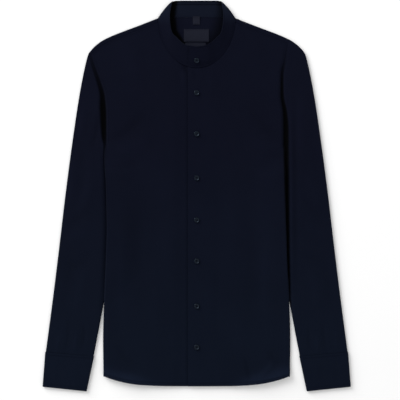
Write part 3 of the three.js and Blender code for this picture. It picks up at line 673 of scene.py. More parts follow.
def tube_section(width, columns):
    """Round a flattened tube, from its outer fold over the top to its inner fold and back below.

    Returns each point's share of the width from the outer fold and its level from -1 (below) to 1 (top).
    """
    inward = ROLL * (1 - np.cos(HALF_TURN))
    upper = ROLL / width + np.linspace(0, 1, columns + 1)[1:-1] * (1 - 2 * ROLL / width)
    share = np.concatenate([inward / width, upper, 1 - inward / width, upper[::-1]])
    rising = np.sin(HALF_TURN)
    level = np.concatenate([rising, np.ones(len(upper)), rising[::-1], -np.ones(len(upper))])
    return share, level


def sleeve_height(side, x, y, loft):
    """Height of a sleeve's upper face: its loft and creases, pressed down where the body lies on it."""
    beside = ease(*PRESSED["beside"], x - side.edge(y))
    pressed = beside * ease(*PRESSED["top"], y) * ease(*PRESSED["foot"], y)
    across = side.sign * x
    folds = creased(across, y, LARGEST_FOLDS) + small_creases(across, y, SLEEVE_CREASES)
    outer = np.maximum(outline_x(np.clip(y, -330, 364)) - x, 0)
    free = loft + folds * ease(*SLEEVE_CALM, outer) + waves(across, y)
    gully = side.gully("depth", y) * within(x - side.body_x(y), side.gully("reach", y), GULLY_WALL)
    return np.maximum(mix(free, PRESSED["height"] + 0.5 * folds, pressed) - gully, GULLY_FLOOR)


def sleeve_surface(side):
    """Sleeve: a flattened tube from the cuff to the armhole; its plan is a patch between its two folds."""
    v = stretches(0, (0.02, 4), (0.86, 110), (1, 24))
    outer_share, inner_share, loft = (
        curve(SLEEVE_ROWS, column, v, by="at") for column in ("outer", "inner", "loft"))
    outer_y = mix(CUFF_SEAM["outer"], side.arm_top, outer_share)
    inner_y = mix(CUFF_SEAM["inner"], UNDERARM, inner_share)
    outer = np.stack([outline_x(outer_y) + v * SEAM / 2, outer_y], -1)
    inner = np.stack([side.inner(inner_y), inner_y], -1)
    seam_rows = [side.arm_top, side.arm_top - YOKE_FRONT - SEAM, *ARM_STATIONS[::-1]]
    rows = []
    for k in range(len(v)):
        share, level = tube_section(math.dist(outer[k], inner[k]), 34)
        seam_y = np.interp(share * (len(seam_rows) - 1), np.arange(len(seam_rows)), seam_rows)
        top = np.stack([side.arm_x(seam_y) + SEAM / 2, seam_y], -1)
        bottom, straight, end = (mix(outer[at], inner[at], share[:, None]) for at in (0, k, -1))
        plan = mix(bottom, top, v[k]) + straight - mix(bottom, end, v[k])
        height = sleeve_height(side, plan[:, 0], plan[:, 1], loft[k]) * (1 + level) / 2
        plan[:, 0] -= LEANING["sleeve"] * leaning(plan[:, 1]) * (1 - level**2) * (share > 0.5)
        rows.append(np.column_stack([side.sign * plan[:, 0], plan[:, 1], height]))
    end = rows[-1]
    for inward, drop in zip(TURN_IN["in"], TURN_IN["drop"]):
        turned = end.copy()
        turned[:, 0] -= side.sign * inward
        turned[:, 2] = mix(TURN_IN["rise"], end[:, 2].max() - drop, end[:, 2] / end[:, 2].max())
        rows.append(turned)
    return np.stack(rows)


def cuff_plan(side, v):
    """Outer and inner end of a cuff's section, v of the way from its seam to its free end."""
    outer = np.array([outline_x(CUFF_SEAM["outer"]) + CUFF_STEP, CUFF_SEAM["outer"] - SEAM])
    inner = np.array([side.inner(CUFF_SEAM["inner"]) - CUFF_STEP, CUFF_SEAM["inner"] - SEAM])
    return mix(outer, np.array(CUFF_END["outer"]), v), mix(inner, np.array(CUFF_END["inner"]), v)


def cuff_height(x, y, v):
    """Height of a cuff's upper face: its loft, soft creases and the stitched grooves along both ends."""
    grooves = sum(bell(v - row, *CUFF_GROOVE) for row in CUFF_ROWS)
    ends = bell(v, *CUFF_ENDS["seam"]) + bell(1 - v, *CUFF_ENDS["free"])
    return CUFF_LOFT + small_creases(x, y, CUFF_CREASES) - grooves - ends


def cuff_surface(side):
    """Cuff: a short flattened tube that stands a step wider than the sleeve's end."""
    rows = []
    for v in stretches(0, (0.1, 8), (0.88, 20), (1, 9)):
        outer, inner = cuff_plan(side, v)
        share, level = tube_section(math.dist(outer, inner), 30)
        plan = mix(outer, inner, share[:, None])
        plan[:, 0] *= side.sign
        rows.append(np.column_stack([plan, cuff_height(plan[:, 0], plan[:, 1], v) * (1 + level) / 2]))
    return np.stack(rows)


def band_fold(v):
    """Side fold of the band: a straight line from the seam to the free edge, bowed out square to itself."""
    seam = np.array(BAND_FOLD["seam"])
    edge = np.array(BAND_FOLD["edge"])
    run, rise = edge - seam
    bulge = BAND_BULGE * 4 * v * (1 - v) / math.hypot(run, rise)
    return mix(seam, edge, v) + bulge * np.array([rise, -run])


def band_plan(angle, v):
    """Front of the band in plan, from the neck seam to the mouth's edge, following the fold's bow near it."""
    share = np.abs(angle) / (np.pi / 2)
    mouth = np.stack([
        np.sign(angle) * curve(MOUTH, "x", share, by="at"),
        curve(MOUTH, "y", share, by="at"),
    ], -1)
    straight = mix(neck_front(np.pi / 2, -SEAM / 2), np.array(BAND_FOLD["edge"]), v)
    bow = ease(BAND_BOW, 1, share)[..., None] * (band_fold(v) - straight)
    bow = bow * np.stack([np.sign(angle), np.ones_like(angle)], -1)
    return mix(neck_front(angle, -SEAM / 2), mouth, v) + bow


def band_top(v):
    return mix(BAND_FRONT["seam"], BAND_FRONT["edge"], v ** BAND_FRONT["power"])


def band_under(v):
    return mix(BAND_BACK["seam"], BAND_BACK["edge"], v ** BAND_BACK["power"])


def band_side_drop(angle, v):
    """How far the front's free edge comes down towards the side fold."""
    share = np.abs(angle) / (np.pi / 2)
    return BAND_SIDE_DROP["drop"] * v**3 * ease(*BAND_SIDE_DROP["across"], share)


def band_dents(angle, v):
    """Soft unevenness of the band's front and the grooves of its two rows of stitches."""
    soft = 0.35 * np.sin(angle * 5.3 + 0.8) * np.sin(v * 3.0 + angle * 1.7)
    return soft * v * (1 - v) * 4 - sum(bell(v - row, *BAND_GROOVE) for row in BAND_ROWS)


def band_front_height(angle, v):
    return band_top(v) - band_side_drop(angle, v) + band_dents(angle, v)


def band_lap(angle, v):
    """How far the band's upper end rides over the lower one: less along the neck seam that holds both."""
    start, end = (math.radians(value) for value in BAND_LAP["slope"])
    share = mix(BAND_LAP["least"], 1, ease(0, BAND_LAP["full"], v))
    return (WALL["band"] + SEAM) * ease(start, end, angle) * share


def facing_rows(v, height, width):
    """Bells along the two rows of stitches inside the band's free edge."""
    return sum(bell(v - row, height, width) for row in FACING_ROWS)


def band_corner(x, v):
    """How far the free edge comes down where it rounds into the side fold."""
    return BAND_CORNER["drop"] * v**6 * ease(BAND_CORNER["reach"], 0, BAND_FOLD["edge"][0] - np.abs(x))


def band_hollow(x, v):
    """How far the back of the band hangs down in the fold on the wearer's right, out of the light."""
    return BAND_HOLLOW["depth"] * v * ease(-BAND_HOLLOW["slope"], 0, BAND_HOLLOW["x"] - x)


def band_surface():
    """Collar band: a strip from its upper end at the front, round the left fold, behind the neck, round the
    right fold to its lower end, swept from the neck seam to the free edge. Returns its points and painted shade."""
    free = np.linspace(0, NECK_CORNER, 48)
    left_angles = np.concatenate([np.linspace(-LEFT_LAP_ANGLE, 0, 7)[:-1], free])
    right_angles = np.concatenate([np.linspace(RIGHT_LAP_ANGLE, 0, 7)[:-1], -free])[::-1]
    behind_share = np.linspace(0, 1, 33)[1:-1]
    turn = np.linspace(np.pi / 2, -np.pi / 2, 15)
    level = np.sin(turn)
    rows = []
    levels = stretches(0, (0.12, 5), (0.7, 14), (1, 24))
    for v in levels:
        low = band_under(v)
        high = band_top(v) - band_side_drop(NECK_CORNER, v)
        fold_x, fold_y = band_fold(v)
        reach = (high - low) / 2
        left_z = band_front_height(left_angles, v) + band_lap(left_angles, v)
        left = np.column_stack([band_plan(left_angles, v), left_z])
        right = np.column_stack([band_plan(right_angles, v), band_front_height(right_angles, v)])
        inward = reach * (1 - np.cos(turn))
        turned_x = fold_x - np.where(level >= 0, 0, inward)
        turned_y = fold_y - np.where(level >= 0, inward, 0)
        turned_z = (low + high) / 2 + level * reach
        left_fold = np.column_stack([turned_x, turned_y, turned_z])
        hollow = band_hollow(-turned_x, v) * (1 - level) / 2
        right_fold = np.column_stack([-turned_x, turned_y, turned_z - hollow])[::-1]
        x = mix(fold_x - reach, reach - fold_x, behind_share)
        rise = neck_back_y(x) - NECK_TOP if v == 0 else (1 - v) * NECK_BACK_RISE * (1 - (x / fold_x) ** 2)
        behind_z = low - band_hollow(x, v) - facing_rows(v, *FACING_GROOVE)
        behind = np.column_stack([x, fold_y + rise, behind_z])
        strip = np.concatenate([left, left_fold, behind, right_fold, right])
        strip[:, 1] -= band_corner(strip[:, 0], v)
        rows.append(strip)
    points = np.stack(rows)
    # Painted shade inside the neck and along the facing's stitches; none on the band's outside
    painted_shading = np.minimum(neck_painted_shade(points) + facing_rows(levels, *FACING_PAINTED_SHADE)[:, None], 1)
    outside = len(turn) // 2
    painted_shading[:, :len(left_angles) + outside] = 0
    painted_shading[:, -len(right_angles) - outside:] = 0
    return points, painted_shading


def crease_painted_shading(points, creases):
    """Painted shade in the troughs among the creases and painted highlight on their ridges, as a share of the
    colour.
    """
    folds = small_creases(points[..., 0], points[..., 1], creases)
    return np.clip(-CREASE_PAINTED_SHADING["each"] * folds, -CREASE_PAINTED_SHADING["most"], CREASE_PAINTED_SHADING["most"])


def sleeve_painted_shading(side, points):
    """Painted shade of a sleeve in the gully beside the body and in its creases; painted highlight on its
    ridges.
    """
    x, y = side.sign * points[..., 0], points[..., 1]
    beside = side.gully("dark", y) * within(x - side.body_x(y), side.gully("reach", y), GULLY_PAINTED_SHADE)
    return beside + crease_painted_shading(points, SLEEVE_CREASES) * (1 - beside)


def front_painted_shading(side, points):
    """Painted shade of a front along its armhole, a little way down its side, in its creases and along the hem's
    stitches; painted highlight on its crease ridges and above the hem's lifted corners."""
    x, y = side.sign * points[..., 0], points[..., 1]
    near = bell(np.maximum(side.body_x(y) - x, 0), 1, ARMHOLE_PAINTED_SHADE["width"])
    beside = side.gully("dark", y) * near * ease(*ARMHOLE_PAINTED_SHADE["fade"], y)
    up = y - hem_y(x)
    # Painted shade along the hem's stitches, and a painted highlight above its lifted corners
    stitched = bell(up - HEM_STITCH["up"], HEM_STITCH["shade"], HEM_STITCH["width"])
    pale = bell(up - HEM_PAINTED_HIGHLIGHT["up"], HEM_PAINTED_HIGHLIGHT["share"], HEM_PAINTED_HIGHLIGHT["width"]) * ease(*HEM_PAINTED_HIGHLIGHT["across"], x)
    return beside + stitched - pale + crease_painted_shading(points, FRONT_CREASES) * (1 - beside)


def neck_painted_shade(points):
    """Painted shade on the inside of the neck beside the mouth's two edges, as a share of the colour."""
    x, y = points[..., 0], points[..., 1]
    edge = np.interp(y, MOUTH["y"], MOUTH["x"])
    dark = np.zeros(x.shape)
    for name, sign in SIGN.items():
        reach = np.maximum(np.interp(y, NECK_PAINTED_SHADE["y"], NECK_PAINTED_SHADE[name]), 0.1)
        dark += NECK_PAINTED_SHADE_DEPTH[name] * within(edge - sign * x, reach, NECK_PAINTED_SHADE_ENDS[name])
    return dark * ease(*NECK_PAINTED_SHADE["y"][:2], y)


def strip_uv(points, ring):
    """UV in metres along the cloth: lengths added up along the rows and, in one column, up the rows."""
    if ring:
        points = np.concatenate([points, points[:, :1]], 1)
    across = np.linalg.norm(np.diff(points, axis=1), axis=2).cumsum(1)
    across = np.concatenate([np.zeros((len(points), 1)), across], 1) + points[:, :1, 0]
    column = points[:, points.shape[1] // 3]
    up = np.concatenate([[0], np.linalg.norm(np.diff(column, axis=0), axis=1).cumsum()]) + column[0, 1]
    return np.stack([across, np.repeat(up[:, None], across.shape[1], 1)], -1) * MM


def cloth_piece(name, points, inside, wall, material, cells=None, ring=False, painted_shading=None):
    """Mesh of a grid of points (rows, columns, 3) as a closed wall: its faces turned away from the point
    inside, then thickened inwards. Each point's painted shade, a share of its colour, goes on as an attribute;
    below 0 it is a painted highlight."""
    rows, columns = points.shape[:2]
    ids = np.arange(rows * columns).reshape(rows, columns)
    uv = strip_uv(points, ring)
    if ring:
        ids = np.concatenate([ids, ids[:, :1]], 1)
    near, far = slice(None, -1), slice(1, None)
    corners = [(near, near), (near, far), (far, far), (far, near)]
    quads = np.stack([ids[corner] for corner in corners], -1)
    quad_uv = np.stack([uv[corner] for corner in corners], -2)
    if cells is not None:
        quads = quads[cells]
        quad_uv = quad_uv[cells]
    quads = quads.reshape(-1, 4)
    quad_uv = quad_uv.reshape(-1, 4, 2)
    flat = points.reshape(-1, 3)
    normals = np.cross(flat[quads[:, 2]] - flat[quads[:, 0]], flat[quads[:, 3]] - flat[quads[:, 1]])
    if ((flat[quads].mean(1) - np.array(inside)) * normals).sum() < 0:
        quads = quads[:, ::-1]
        quad_uv = quad_uv[:, ::-1]
    used, place = np.unique(quads, return_inverse=True)
    mesh = bpy.data.meshes.new(name)
    mesh.from_pydata((flat[used] * MM).tolist(), [], place.reshape(-1, 4).tolist())
    mesh.uv_layers.new(name="cloth").data.foreach_set("uv", quad_uv.ravel())
    # Painted shade and highlight go on as a point attribute that the cloth's material reads
    if painted_shading is not None:
        mesh.attributes.new("painted_shading", "FLOAT", "POINT").data.foreach_set("value", painted_shading.ravel()[used])
    edge_of_loop = np.empty(len(mesh.loops), int)
    mesh.loops.foreach_get("edge_index", edge_of_loop)
    rim = np.bincount(edge_of_loop, minlength=len(mesh.edges)) == 1
    piece = link_piece(name, mesh, material)
    mesh.attributes.new("sharp_edge", "BOOLEAN", "EDGE").data.foreach_set("value", rim)
    solid = piece.modifiers.new("wall", "SOLIDIFY")
    solid.thickness = WALL[wall] * MM
    solid.offset = -1
    solid.use_rim = True
    return piece


def link_piece(name, mesh, material):
    """Smooth-shaded object of a mesh, riding on the garment's one body."""
    mesh.shade_smooth()
    mesh.materials.append(material)
    piece = bpy.data.objects.new(name, mesh)
    bpy.context.scene.collection.objects.link(piece)
    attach(piece, "root")
    return piece


def surface_path(side, x, y, above):
    """Path on a front's upper face through side coordinates x, y."""
    return np.column_stack([side.sign * x, y, front_height(side, x, y) + above])


def front_paths(side, above):
    """Topstitching of a front: along its hem, its armhole and the yoke's seam."""
    hem_x = np.linspace(LAP[side.name]["stitched"], side.edge(HEM["corner"]) - 4, 400)
    arm_y = np.linspace(UNDERARM + 6, side.arm_top - YOKE_FRONT - 2, 200)
    shoulder = side.shoulder(np.linspace(0.03, 0.97, 160), YOKE_FRONT + SEAM + YOKE_ROW)
    return [
        surface_path(side, hem_x, hem_y(hem_x) + HEM_STITCH["up"], above),
        surface_path(side, side.arm_x(arm_y) - ARM_ROW, arm_y, above),
        surface_path(side, shoulder[:, 0] - 1, shoulder[:, 1], above),
    ]


def cuff_paths(side, above):
    """Topstitching of a cuff: near its seam and near its free end, on the upper face."""
    paths = []
    for v in CUFF_ROWS:
        plan = mix(*cuff_plan(side, v), np.linspace(0.04, 0.96, 120)[:, None])
        plan[:, 0] *= side.sign
        paths.append(np.column_stack([plan, cuff_height(plan[:, 0], plan[:, 1], v) + above]))
    return paths


def band_paths(above):
    """Topstitching of the collar band: near its seam and its free edge in front, and on its facing behind."""
    left = np.linspace(-LEFT_LAP_ANGLE * 0.86, NECK_CORNER, 240)
    right = np.linspace(-LEFT_LAP_ANGLE - 0.05, -NECK_CORNER, 240)
    paths = []
    for v in BAND_ROWS:
        for angle, lap in ((left, band_lap(left, v)), (right, 0)):
            paths.append(np.column_stack([band_plan(angle, v), band_front_height(angle, v) + lap + above]))
    behind = np.linspace(-42, 42, 120)
    for v in FACING_ROWS:
        height = band_under(v) - band_hollow(behind, v) - facing_rows(v, *FACING_GROOVE) + WALL["band"] + above
        paths.append(np.column_stack([behind, np.full(len(behind), band_fold(v)[1]), height]))
    return paths


def stitch_row(path):
    """Stitches along a path (n, 3): capsules that follow it, a little arched, with a gap between each.

    Returns their vertices (count, rings, sides, 3) in millimetres.
    """
    settings = bpy.context.scene.shirt_stitching
    length = settings.stitch_length / MM
    pitch = length + settings.stitch_gap / MM
    radius = settings.thread_width / MM / 2
    lengths = np.concatenate([[0], np.linalg.norm(np.diff(path, axis=0), axis=1).cumsum()])
    starts = np.arange(pitch / 2, lengths[-1] - pitch, pitch)
    rings = np.array(STITCH["at"])
    at = starts[:, None] + (rings[None] + 0.5) * length
    centre = np.stack([np.interp(at, lengths, path[:, k]) for k in range(3)], -1)
    forward = centre[:, -1] - centre[:, 0]
    forward /= np.linalg.norm(forward, axis=1, keepdims=True)
    across = np.cross(forward, (0, 0, 1))
    across /= np.linalg.norm(across, axis=1, keepdims=True)
    above = np.cross(across, forward)
    arch = radius * (STITCH_ARCH[0] - STITCH_ARCH[1] * rings**2)[:, None]
    thick = radius * np.array(STITCH["thick"])[:, None]
    angle = np.linspace(0, 2 * np.pi, STITCH["sides"], endpoint=False)
    sideways = across[:, None, None] * (thick * np.cos(angle))[None, ..., None]
    upward = above[:, None, None] * (arch + thick * np.sin(angle))[None, ..., None]
    return centre[:, :, None] + (sideways + upward)


def stitch_piece(name, paths, material):
    """One mesh of all the stitches along the paths, each capsule closed at both ends."""
    points = np.concatenate([stitch_row(path) for path in paths])
    count, rings, sides = points.shape[:3]
    ids = np.arange(rings * sides).reshape(rings, sides)
    ahead = np.roll(ids, -1, 1)
    quads = np.stack([ids[:-1], ahead[:-1], ahead[1:], ids[1:]], -1).reshape(-1, 4)
    first = np.arange(count)[:, None, None] * rings * sides
    caps = np.stack([ids[0][::-1], ids[-1]])
    faces = (quads[None] + first).reshape(-1, 4).tolist() + (caps[None] + first).reshape(-1, sides).tolist()
    mesh = bpy.data.meshes.new(name)
    mesh.from_pydata((points.reshape(-1, 3) * MM).tolist(), [], faces)
    return link_piece(name, mesh, material)


def button_surface():
    """Button as a turned disc: rings from the middle of its face over the rim to the middle of its back; the
    face sinks into four round holes. Returns points (rings, sides, 3)."""
    steps = BUTTON_DISH["steps"]
    dish = np.linspace(0, BUTTON_DISH["radius"][-1], steps)
    rim_r, rim_z = np.array(BUTTON_RIM).T
    r = np.concatenate([dish, rim_r])
    z = np.concatenate([np.interp(dish, BUTTON_DISH["radius"], BUTTON_DISH["height"]), rim_z])
    angle = np.linspace(0, 2 * np.pi, 56, endpoint=False)
    x = r[:, None] * np.cos(angle)
    y = r[:, None] * np.sin(angle)
    height = np.repeat(z[:, None], len(angle), 1)
    for turn in math.pi / 4 + np.arange(4) * math.pi / 2:
        far = np.hypot(x - BUTTON_HOLE["spread"] * math.cos(turn), y - BUTTON_HOLE["spread"] * math.sin(turn))
        height[:steps] -= (BUTTON_HOLE["sink"] * ease(*BUTTON_HOLE["edge"], far))[:steps]
    return np.stack([x, y, height], -1)


def tilted(points, slope, middle):
    """Points turned about the X axis by slope and moved to middle."""
    x, y, z = np.moveaxis(points, -1, 0)
    turned_y = y * math.cos(slope) - z * math.sin(slope)
    turned_z = y * math.sin(slope) + z * math.cos(slope)
    return np.stack([x, turned_y, turned_z], -1) + np.array(middle)


def disc_piece(name, points, material):
    """Closed mesh of rings of points; its first and last ring are single points."""
    rings, sides = points.shape[:2]
    flat = np.concatenate([points[0, :1], points[1:-1].reshape(-1, 3), points[-1, :1]])
    ids = 1 + np.arange((rings - 2) * sides).reshape(rings - 2, sides)
    ahead = np.roll(ids, -1, 1)
    quads = np.stack([ids[:-1], ids[1:], ahead[1:], ahead[:-1]], -1).reshape(-1, 4).tolist()
    last = len(flat) - 1
    caps = [(0, int(a), int(b)) for a, b in zip(ids[0], ahead[0])]
    caps += [(last, int(b), int(a)) for a, b in zip(ids[-1], ahead[-1])]
    mesh = bpy.data.meshes.new(name)
    mesh.from_pydata((flat * MM).tolist(), [], quads + caps)
    return link_piece(name, mesh, material)


def button_places():
    """Middle of each button's underside and its slope: the first on the band, the others down the front."""
    low = NECK_TOP - NECK_DROP
    share = (BAND_BUTTON_Y - low) / (MOUTH["y"][0] - low)
    slope = math.atan2(BAND_FRONT["edge"] - BAND_FRONT["seam"], MOUTH["y"][0] - low)
    on_band = ((0, BAND_BUTTON_Y, band_top(share) + WALL["band"] + 2 * SEAM), slope)
    return [on_band, *(((0, y, LOFT + LEFT.rise + SEAM), 0) for y in BUTTON_ROWS)]


def button_thread_paths(slope, middle):
    """Threads across the button's face from hole to hole."""
    along = np.linspace(-BUTTON_THREAD["reach"], BUTTON_THREAD["reach"], BUTTON_THREAD["points"])
    return [
        tilted(np.stack(np.broadcast_arrays(x, along, BUTTON_THREAD["height"]), -1), slope, middle)
        for x in BUTTON_THREAD["x"]
    ]


def label_base(name, y):
    """Height of the cloth under a label at y: the yoke, then the band's inside."""
    if LABELS[name]["on"] == "yoke":
        return np.full_like(y, WALL["yoke"])
    rise = np.maximum(0, (y - NECK_TOP) / (BAND_FOLD["edge"][1] - NECK_TOP))
    on_band = WALL["band"] * ease(NECK_TOP - LABEL_CLIMB, NECK_TOP, y) + band_under(rise)
    return np.maximum(WALL["yoke"], on_band)


def label_surface(name):
    """Label: a woven tab that follows the cloth under it, its edges pressed down and its middle a little up."""
    share_x = np.linspace(0, 1, 25)[None, :]
    share_y = np.linspace(0, 1, 17)[:, None]
    x = mix(*LABELS[name]["x"], share_x)
    y = mix(*LABELS[name]["y"], share_y)
    rounded_y = np.sin(np.pi * share_y)
    puff = LABEL_PUFF * np.sin(np.pi * share_x) ** 0.5 * rounded_y**0.5
    ripple = LABEL_RIPPLE["height"] * np.sin(x / LABEL_RIPPLE["length"]) * rounded_y
    height = label_base(name, y) + SEAM + WALL["label"] + puff + ripple
    return np.stack(np.broadcast_arrays(x, y, height), -1)


def label_paths(name, above):
    """Rows of stitches along a label's upper and lower ends."""
    x0, x1 = LABELS[name]["x"]
    y0, y1 = LABELS[name]["y"]
    x = np.linspace(x0 + 1, x1 - 1, 40)
    ends = np.array([y0 + 1.4, y1 - 1.4])
    heights = label_base(name, ends) + SEAM + WALL["label"] + above
    return [np.stack(np.broadcast_arrays(x, y, z), -1) for y, z in zip(ends, heights)]


def fill(tree, node, inputs):
    """Give each named input of a node a number or a colour, or link another node's output to it."""
    for name, value in inputs.items():
        if isinstance(value, bpy.types.NodeSocket):
            tree.links.new(value, node.inputs[name])
        else:
            node.inputs[name].default_value = value


def add(tree, kind, inputs, **settings):
    """New shader node with settings of its own and filled inputs."""
    node = tree.nodes.new("ShaderNode" + kind)
    for name, value in settings.items():
        setattr(node, name, value)
    fill(tree, node, inputs)
    return node


def weave_height(tree):
    """Plain weave on the cloth's own UV: two crossed sets of bands, one thread wide each, multiplied."""
    bands = {
        "Vector": add(tree, "UVMap", {}, uv_map="cloth").outputs["UV"],
        "Scale": 2 * math.pi / (20 * WEAVE_THREAD),
        "Distortion": 0.6,
        "Detail Scale": 0.02,
    }
    across, up = (add(tree, "TexWave", bands, bands_direction=axis).outputs["Fac"] for axis in "XY")
    return add(tree, "Math", {0: across, 1: up}, operation="MULTIPLY").outputs["Value"]


def noise(tree, scale, detail):
    """Soft noise on Object coordinates."""
    place = add(tree, "TexCoord", {}).outputs["Object"]
    return add(tree, "TexNoise", {"Vector": place, "Scale": scale, "Detail": detail}).outputs["Fac"]


def ramp(tree, factor, *stops):
    """Colour ramp: stops are (position, colour)."""
    node = add(tree, "ValToRGB", {"Fac": factor})
    for element, (position, colour) in zip(node.color_ramp.elements, stops):
        element.position = position
        element.color = (*colour, 1)
    return node.outputs["Color"]


def mottled(tree, factor, colour, *stops):
    """A colour's shades: stops are (position, share of the colour)."""
    return ramp(tree, factor, *((position, [share * value for value in colour]) for position, share in stops))


def map_range(tree, value, limits, **settings):
    return add(tree, "MapRange", {"Value": value, **limits}, **settings).outputs["Result"]


def multiply(tree, first, second, share=1):
    inputs = {"Factor": share, "A": first, "B": second}
    return add(tree, "Mix", inputs, data_type="RGBA", blend_type="MULTIPLY").outputs["Result"]


def bump(tree, height, distance, strength, **under):
    inputs = {"Height": height, "Distance": distance, "Strength": strength, **under}
    return add(tree, "Bump", inputs).outputs["Normal"]


GREY = (1, 1, 1)


def cotton(tree, low, high, span, sheen):
    """Dyed cotton: tone that drifts from low to high over a span of heights and wanders a little, darkened by
    painted shade and lightened by painted highlight from the mesh, in a plain weave with loose fibres and a
    faint sheen."""
    place = add(tree, "TexCoord", {}).outputs["Object"]
    height = add(tree, "SeparateXYZ", {"Vector": place}).outputs["Y"]
    drift = map_range(tree, height, {"From Min": span[0], "From Max": span[1]})
    wander = mottled(tree, noise(tree, 9, 2), GREY, (0.3, 0.95), (0.7, 1.05))
    tone = multiply(tree, ramp(tree, drift, (0.0, low), (1.0, high)), wander)
    # Painted shade darkens the tone, and painted highlight, below 0, lightens it
    painted_shading = add(tree, "Attribute", {}, attribute_name="painted_shading").outputs["Fac"]
    tone = multiply(tree, tone, map_range(tree, painted_shading, {"To Min": 1, "To Max": 0.04}, clamp=False))
    weave = weave_height(tree)
    crossings = mottled(tree, weave, GREY, (0.0, 0.72), (0.8, 1.15))
    fibres = bump(tree, noise(tree, 1800, 3), 0.00012, 0.35)
    return {
        "Base Color": multiply(tree, tone, crossings, 0.35),
        "Roughness": map_range(tree, noise(tree, 60, 2), {"To Min": 0.82, "To Max": 0.95}),
        "Normal": bump(tree, weave, 0.00016, 0.45, Normal=fibres),
        "Specular IOR Level": 0.03,
        "Sheen Weight": sheen,
        "Sheen Roughness": 0.45,
        "Sheen Tint": (0.55, 0.68, 1.0, 1),
    }


def resin(tree, colour):
    """Dyed resin: cloudy depth of tone and fine turning marks under a soft gloss."""
    return {
        "Base Color": mottled(tree, noise(tree, 420, 3), colour, (0.35, 0.7), (0.7, 1.7)),
        "Roughness": 0.14,
        "Normal": bump(tree, noise(tree, 1400, 2), 0.00003, 0.25),
        "Specular IOR Level": 0.26,
        "Specular Tint": (0.55, 0.75, 1.0, 1),
    }


def twisted(tree, colour):
    """Sewing thread: twisted plies as fine noise, nearly matt."""
    return {
        "Base Color": mottled(tree, noise(tree, 900, 2), colour, (0.3, 0.75), (0.7, 1.3)),
        "Roughness": 0.8,
        "Specular IOR Level": 0.03,
    }


def paper(tree, colour):
    """Plain pale paper with the faintest mottling."""
    return {
        "Base Color": mottled(tree, noise(tree, 3, 2), colour, (0.3, 0.985), (0.7, 1)),
        "Roughness": 0.85,
        "Specular IOR Level": 0.1,
    }


def material_once(name, looks, *values):
    """Node material of that name, made the first time it is asked for; looks gives its shader's inputs."""
    material = bpy.data.materials.get(name)
    if material is None:
        material = bpy.data.materials.new(name)
        material.use_nodes = True
        tree = material.node_tree
        fill(tree, tree.nodes["Principled BSDF"], looks(tree, *values))
    return material


def shirting():
    cloth = bpy.context.scene.shirt_cloth
    return material_once(
        "navy_cotton", cotton, cloth.low_colour, cloth.high_colour, DRIFT["shirting"], cloth.sheen)


# The collar band's cloth: painted shade on its front, drifting to painted light on its facing
def collar_cloth():
    cloth = bpy.context.scene.shirt_cloth
    return material_once(
        "navy_cotton_collar", cotton, cloth.collar_painted_shade_colour, cloth.facing_painted_light_colour, DRIFT["collar"], cloth.sheen)


def label_cloth():
    colour = bpy.context.scene.shirt_cloth.label_colour
    return material_once("woven_label", cotton, colour, colour, DRIFT["label"], LABEL_SHEEN)


def thread():
    return material_once("navy_thread", twisted, bpy.context.scene.shirt_stitching.colour)


def colour_setting(name, description, *default):
    return bpy.props.FloatVectorProperty(
        name=name, description=description, subtype="COLOR", size=3, default=default, min=0, max=1)


def number_setting(name, description, default, least=0, **more):
    return bpy.props.FloatProperty(name=name, description=description, default=default, min=least, **more)


class ShirtCloth(bpy.types.PropertyGroup):
    # The shirting's colour at the hem and at the neck: darker towards the neck
    low_colour: colour_setting("Cloth colour, hem", "Dye of the shirting at the hem", 0.0034, 0.0056, 0.0126)
    high_colour: colour_setting("Cloth colour, neck", "Dye of the shirting at the neck", 0.0031, 0.0039, 0.0102)
    # The collar band's front in painted shade, darker than the shirting, and its facing in painted light,
    # lighter than it
    collar_painted_shade_colour: colour_setting("Collar colour", "Dye of the collar band's outside", 0.0028, 0.0035, 0.0094)
    facing_painted_light_colour: colour_setting("Facing colour", "Dye of the collar band's facing", 0.0054, 0.0076, 0.0160)
    label_colour: colour_setting("Label colour", "Colour of the woven labels", 0.0112, 0.0124, 0.0208)
    sheen: number_setting("Sheen", "Soft shine of the fibres", 0.03, max=1, subtype="FACTOR")
    crease_share: number_setting("Creases", "Depth of the smaller creases", 1.0, max=2, subtype="FACTOR")


class ShirtStitching(bpy.types.PropertyGroup):
    stitch_length: number_setting("Stitch length", "Length of one stitch", 0.0022, 0.001, unit="LENGTH")
    stitch_gap: number_setting("Stitch gap", "Gap between two stitches", 0.0006, unit="LENGTH")
    thread_width: number_setting("Thread width", "Width of the thread", 0.0004, 0.0001, unit="LENGTH")
    colour: colour_setting("Thread colour", "Dye of the thread", 0.0034, 0.0044, 0.0110)


class ShirtButtons(bpy.types.PropertyGroup):
    colour: colour_setting("Button colour", "Colour of the resin", 0.0010, 0.0015, 0.0042)


class ShirtStage(bpy.types.PropertyGroup):
    floor_colour: colour_setting("Floor colour", "Colour of the paper floor", 0.9, 0.9, 0.9)
    camera_height: number_setting(
        "Camera height", "Height of the camera over the floor", 1.9395, 0.5, unit="LENGTH")
    lens: number_setting("Lens", "Focal length in millimetres", 85, 20)
    key_power: number_setting("Key light", "Power of the large light at the upper left", 335, unit="POWER")
    sky_light: number_setting("Fill light", "Strength of the even light from all round", 0.785)


class SHIRT_OT_fronts(bpy.types.Operator):
    """Build both fronts, the left one lapped over the right one"""

    bl_idname = "shirt.fronts"
    bl_label = "Fronts"

    def execute(self, context):
        for side in (RIGHT, LEFT):
            points, cells = front_surface(side)
            piece = cloth_piece(
                f"{side.name}_front_cloth", points, side.inside(90, 0, LOFT / 2), "shirting", shirting(),
                cells=cells, painted_shading=front_painted_shading(side, points))
            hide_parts(f"front_{side.name}")
        return {"FINISHED"}


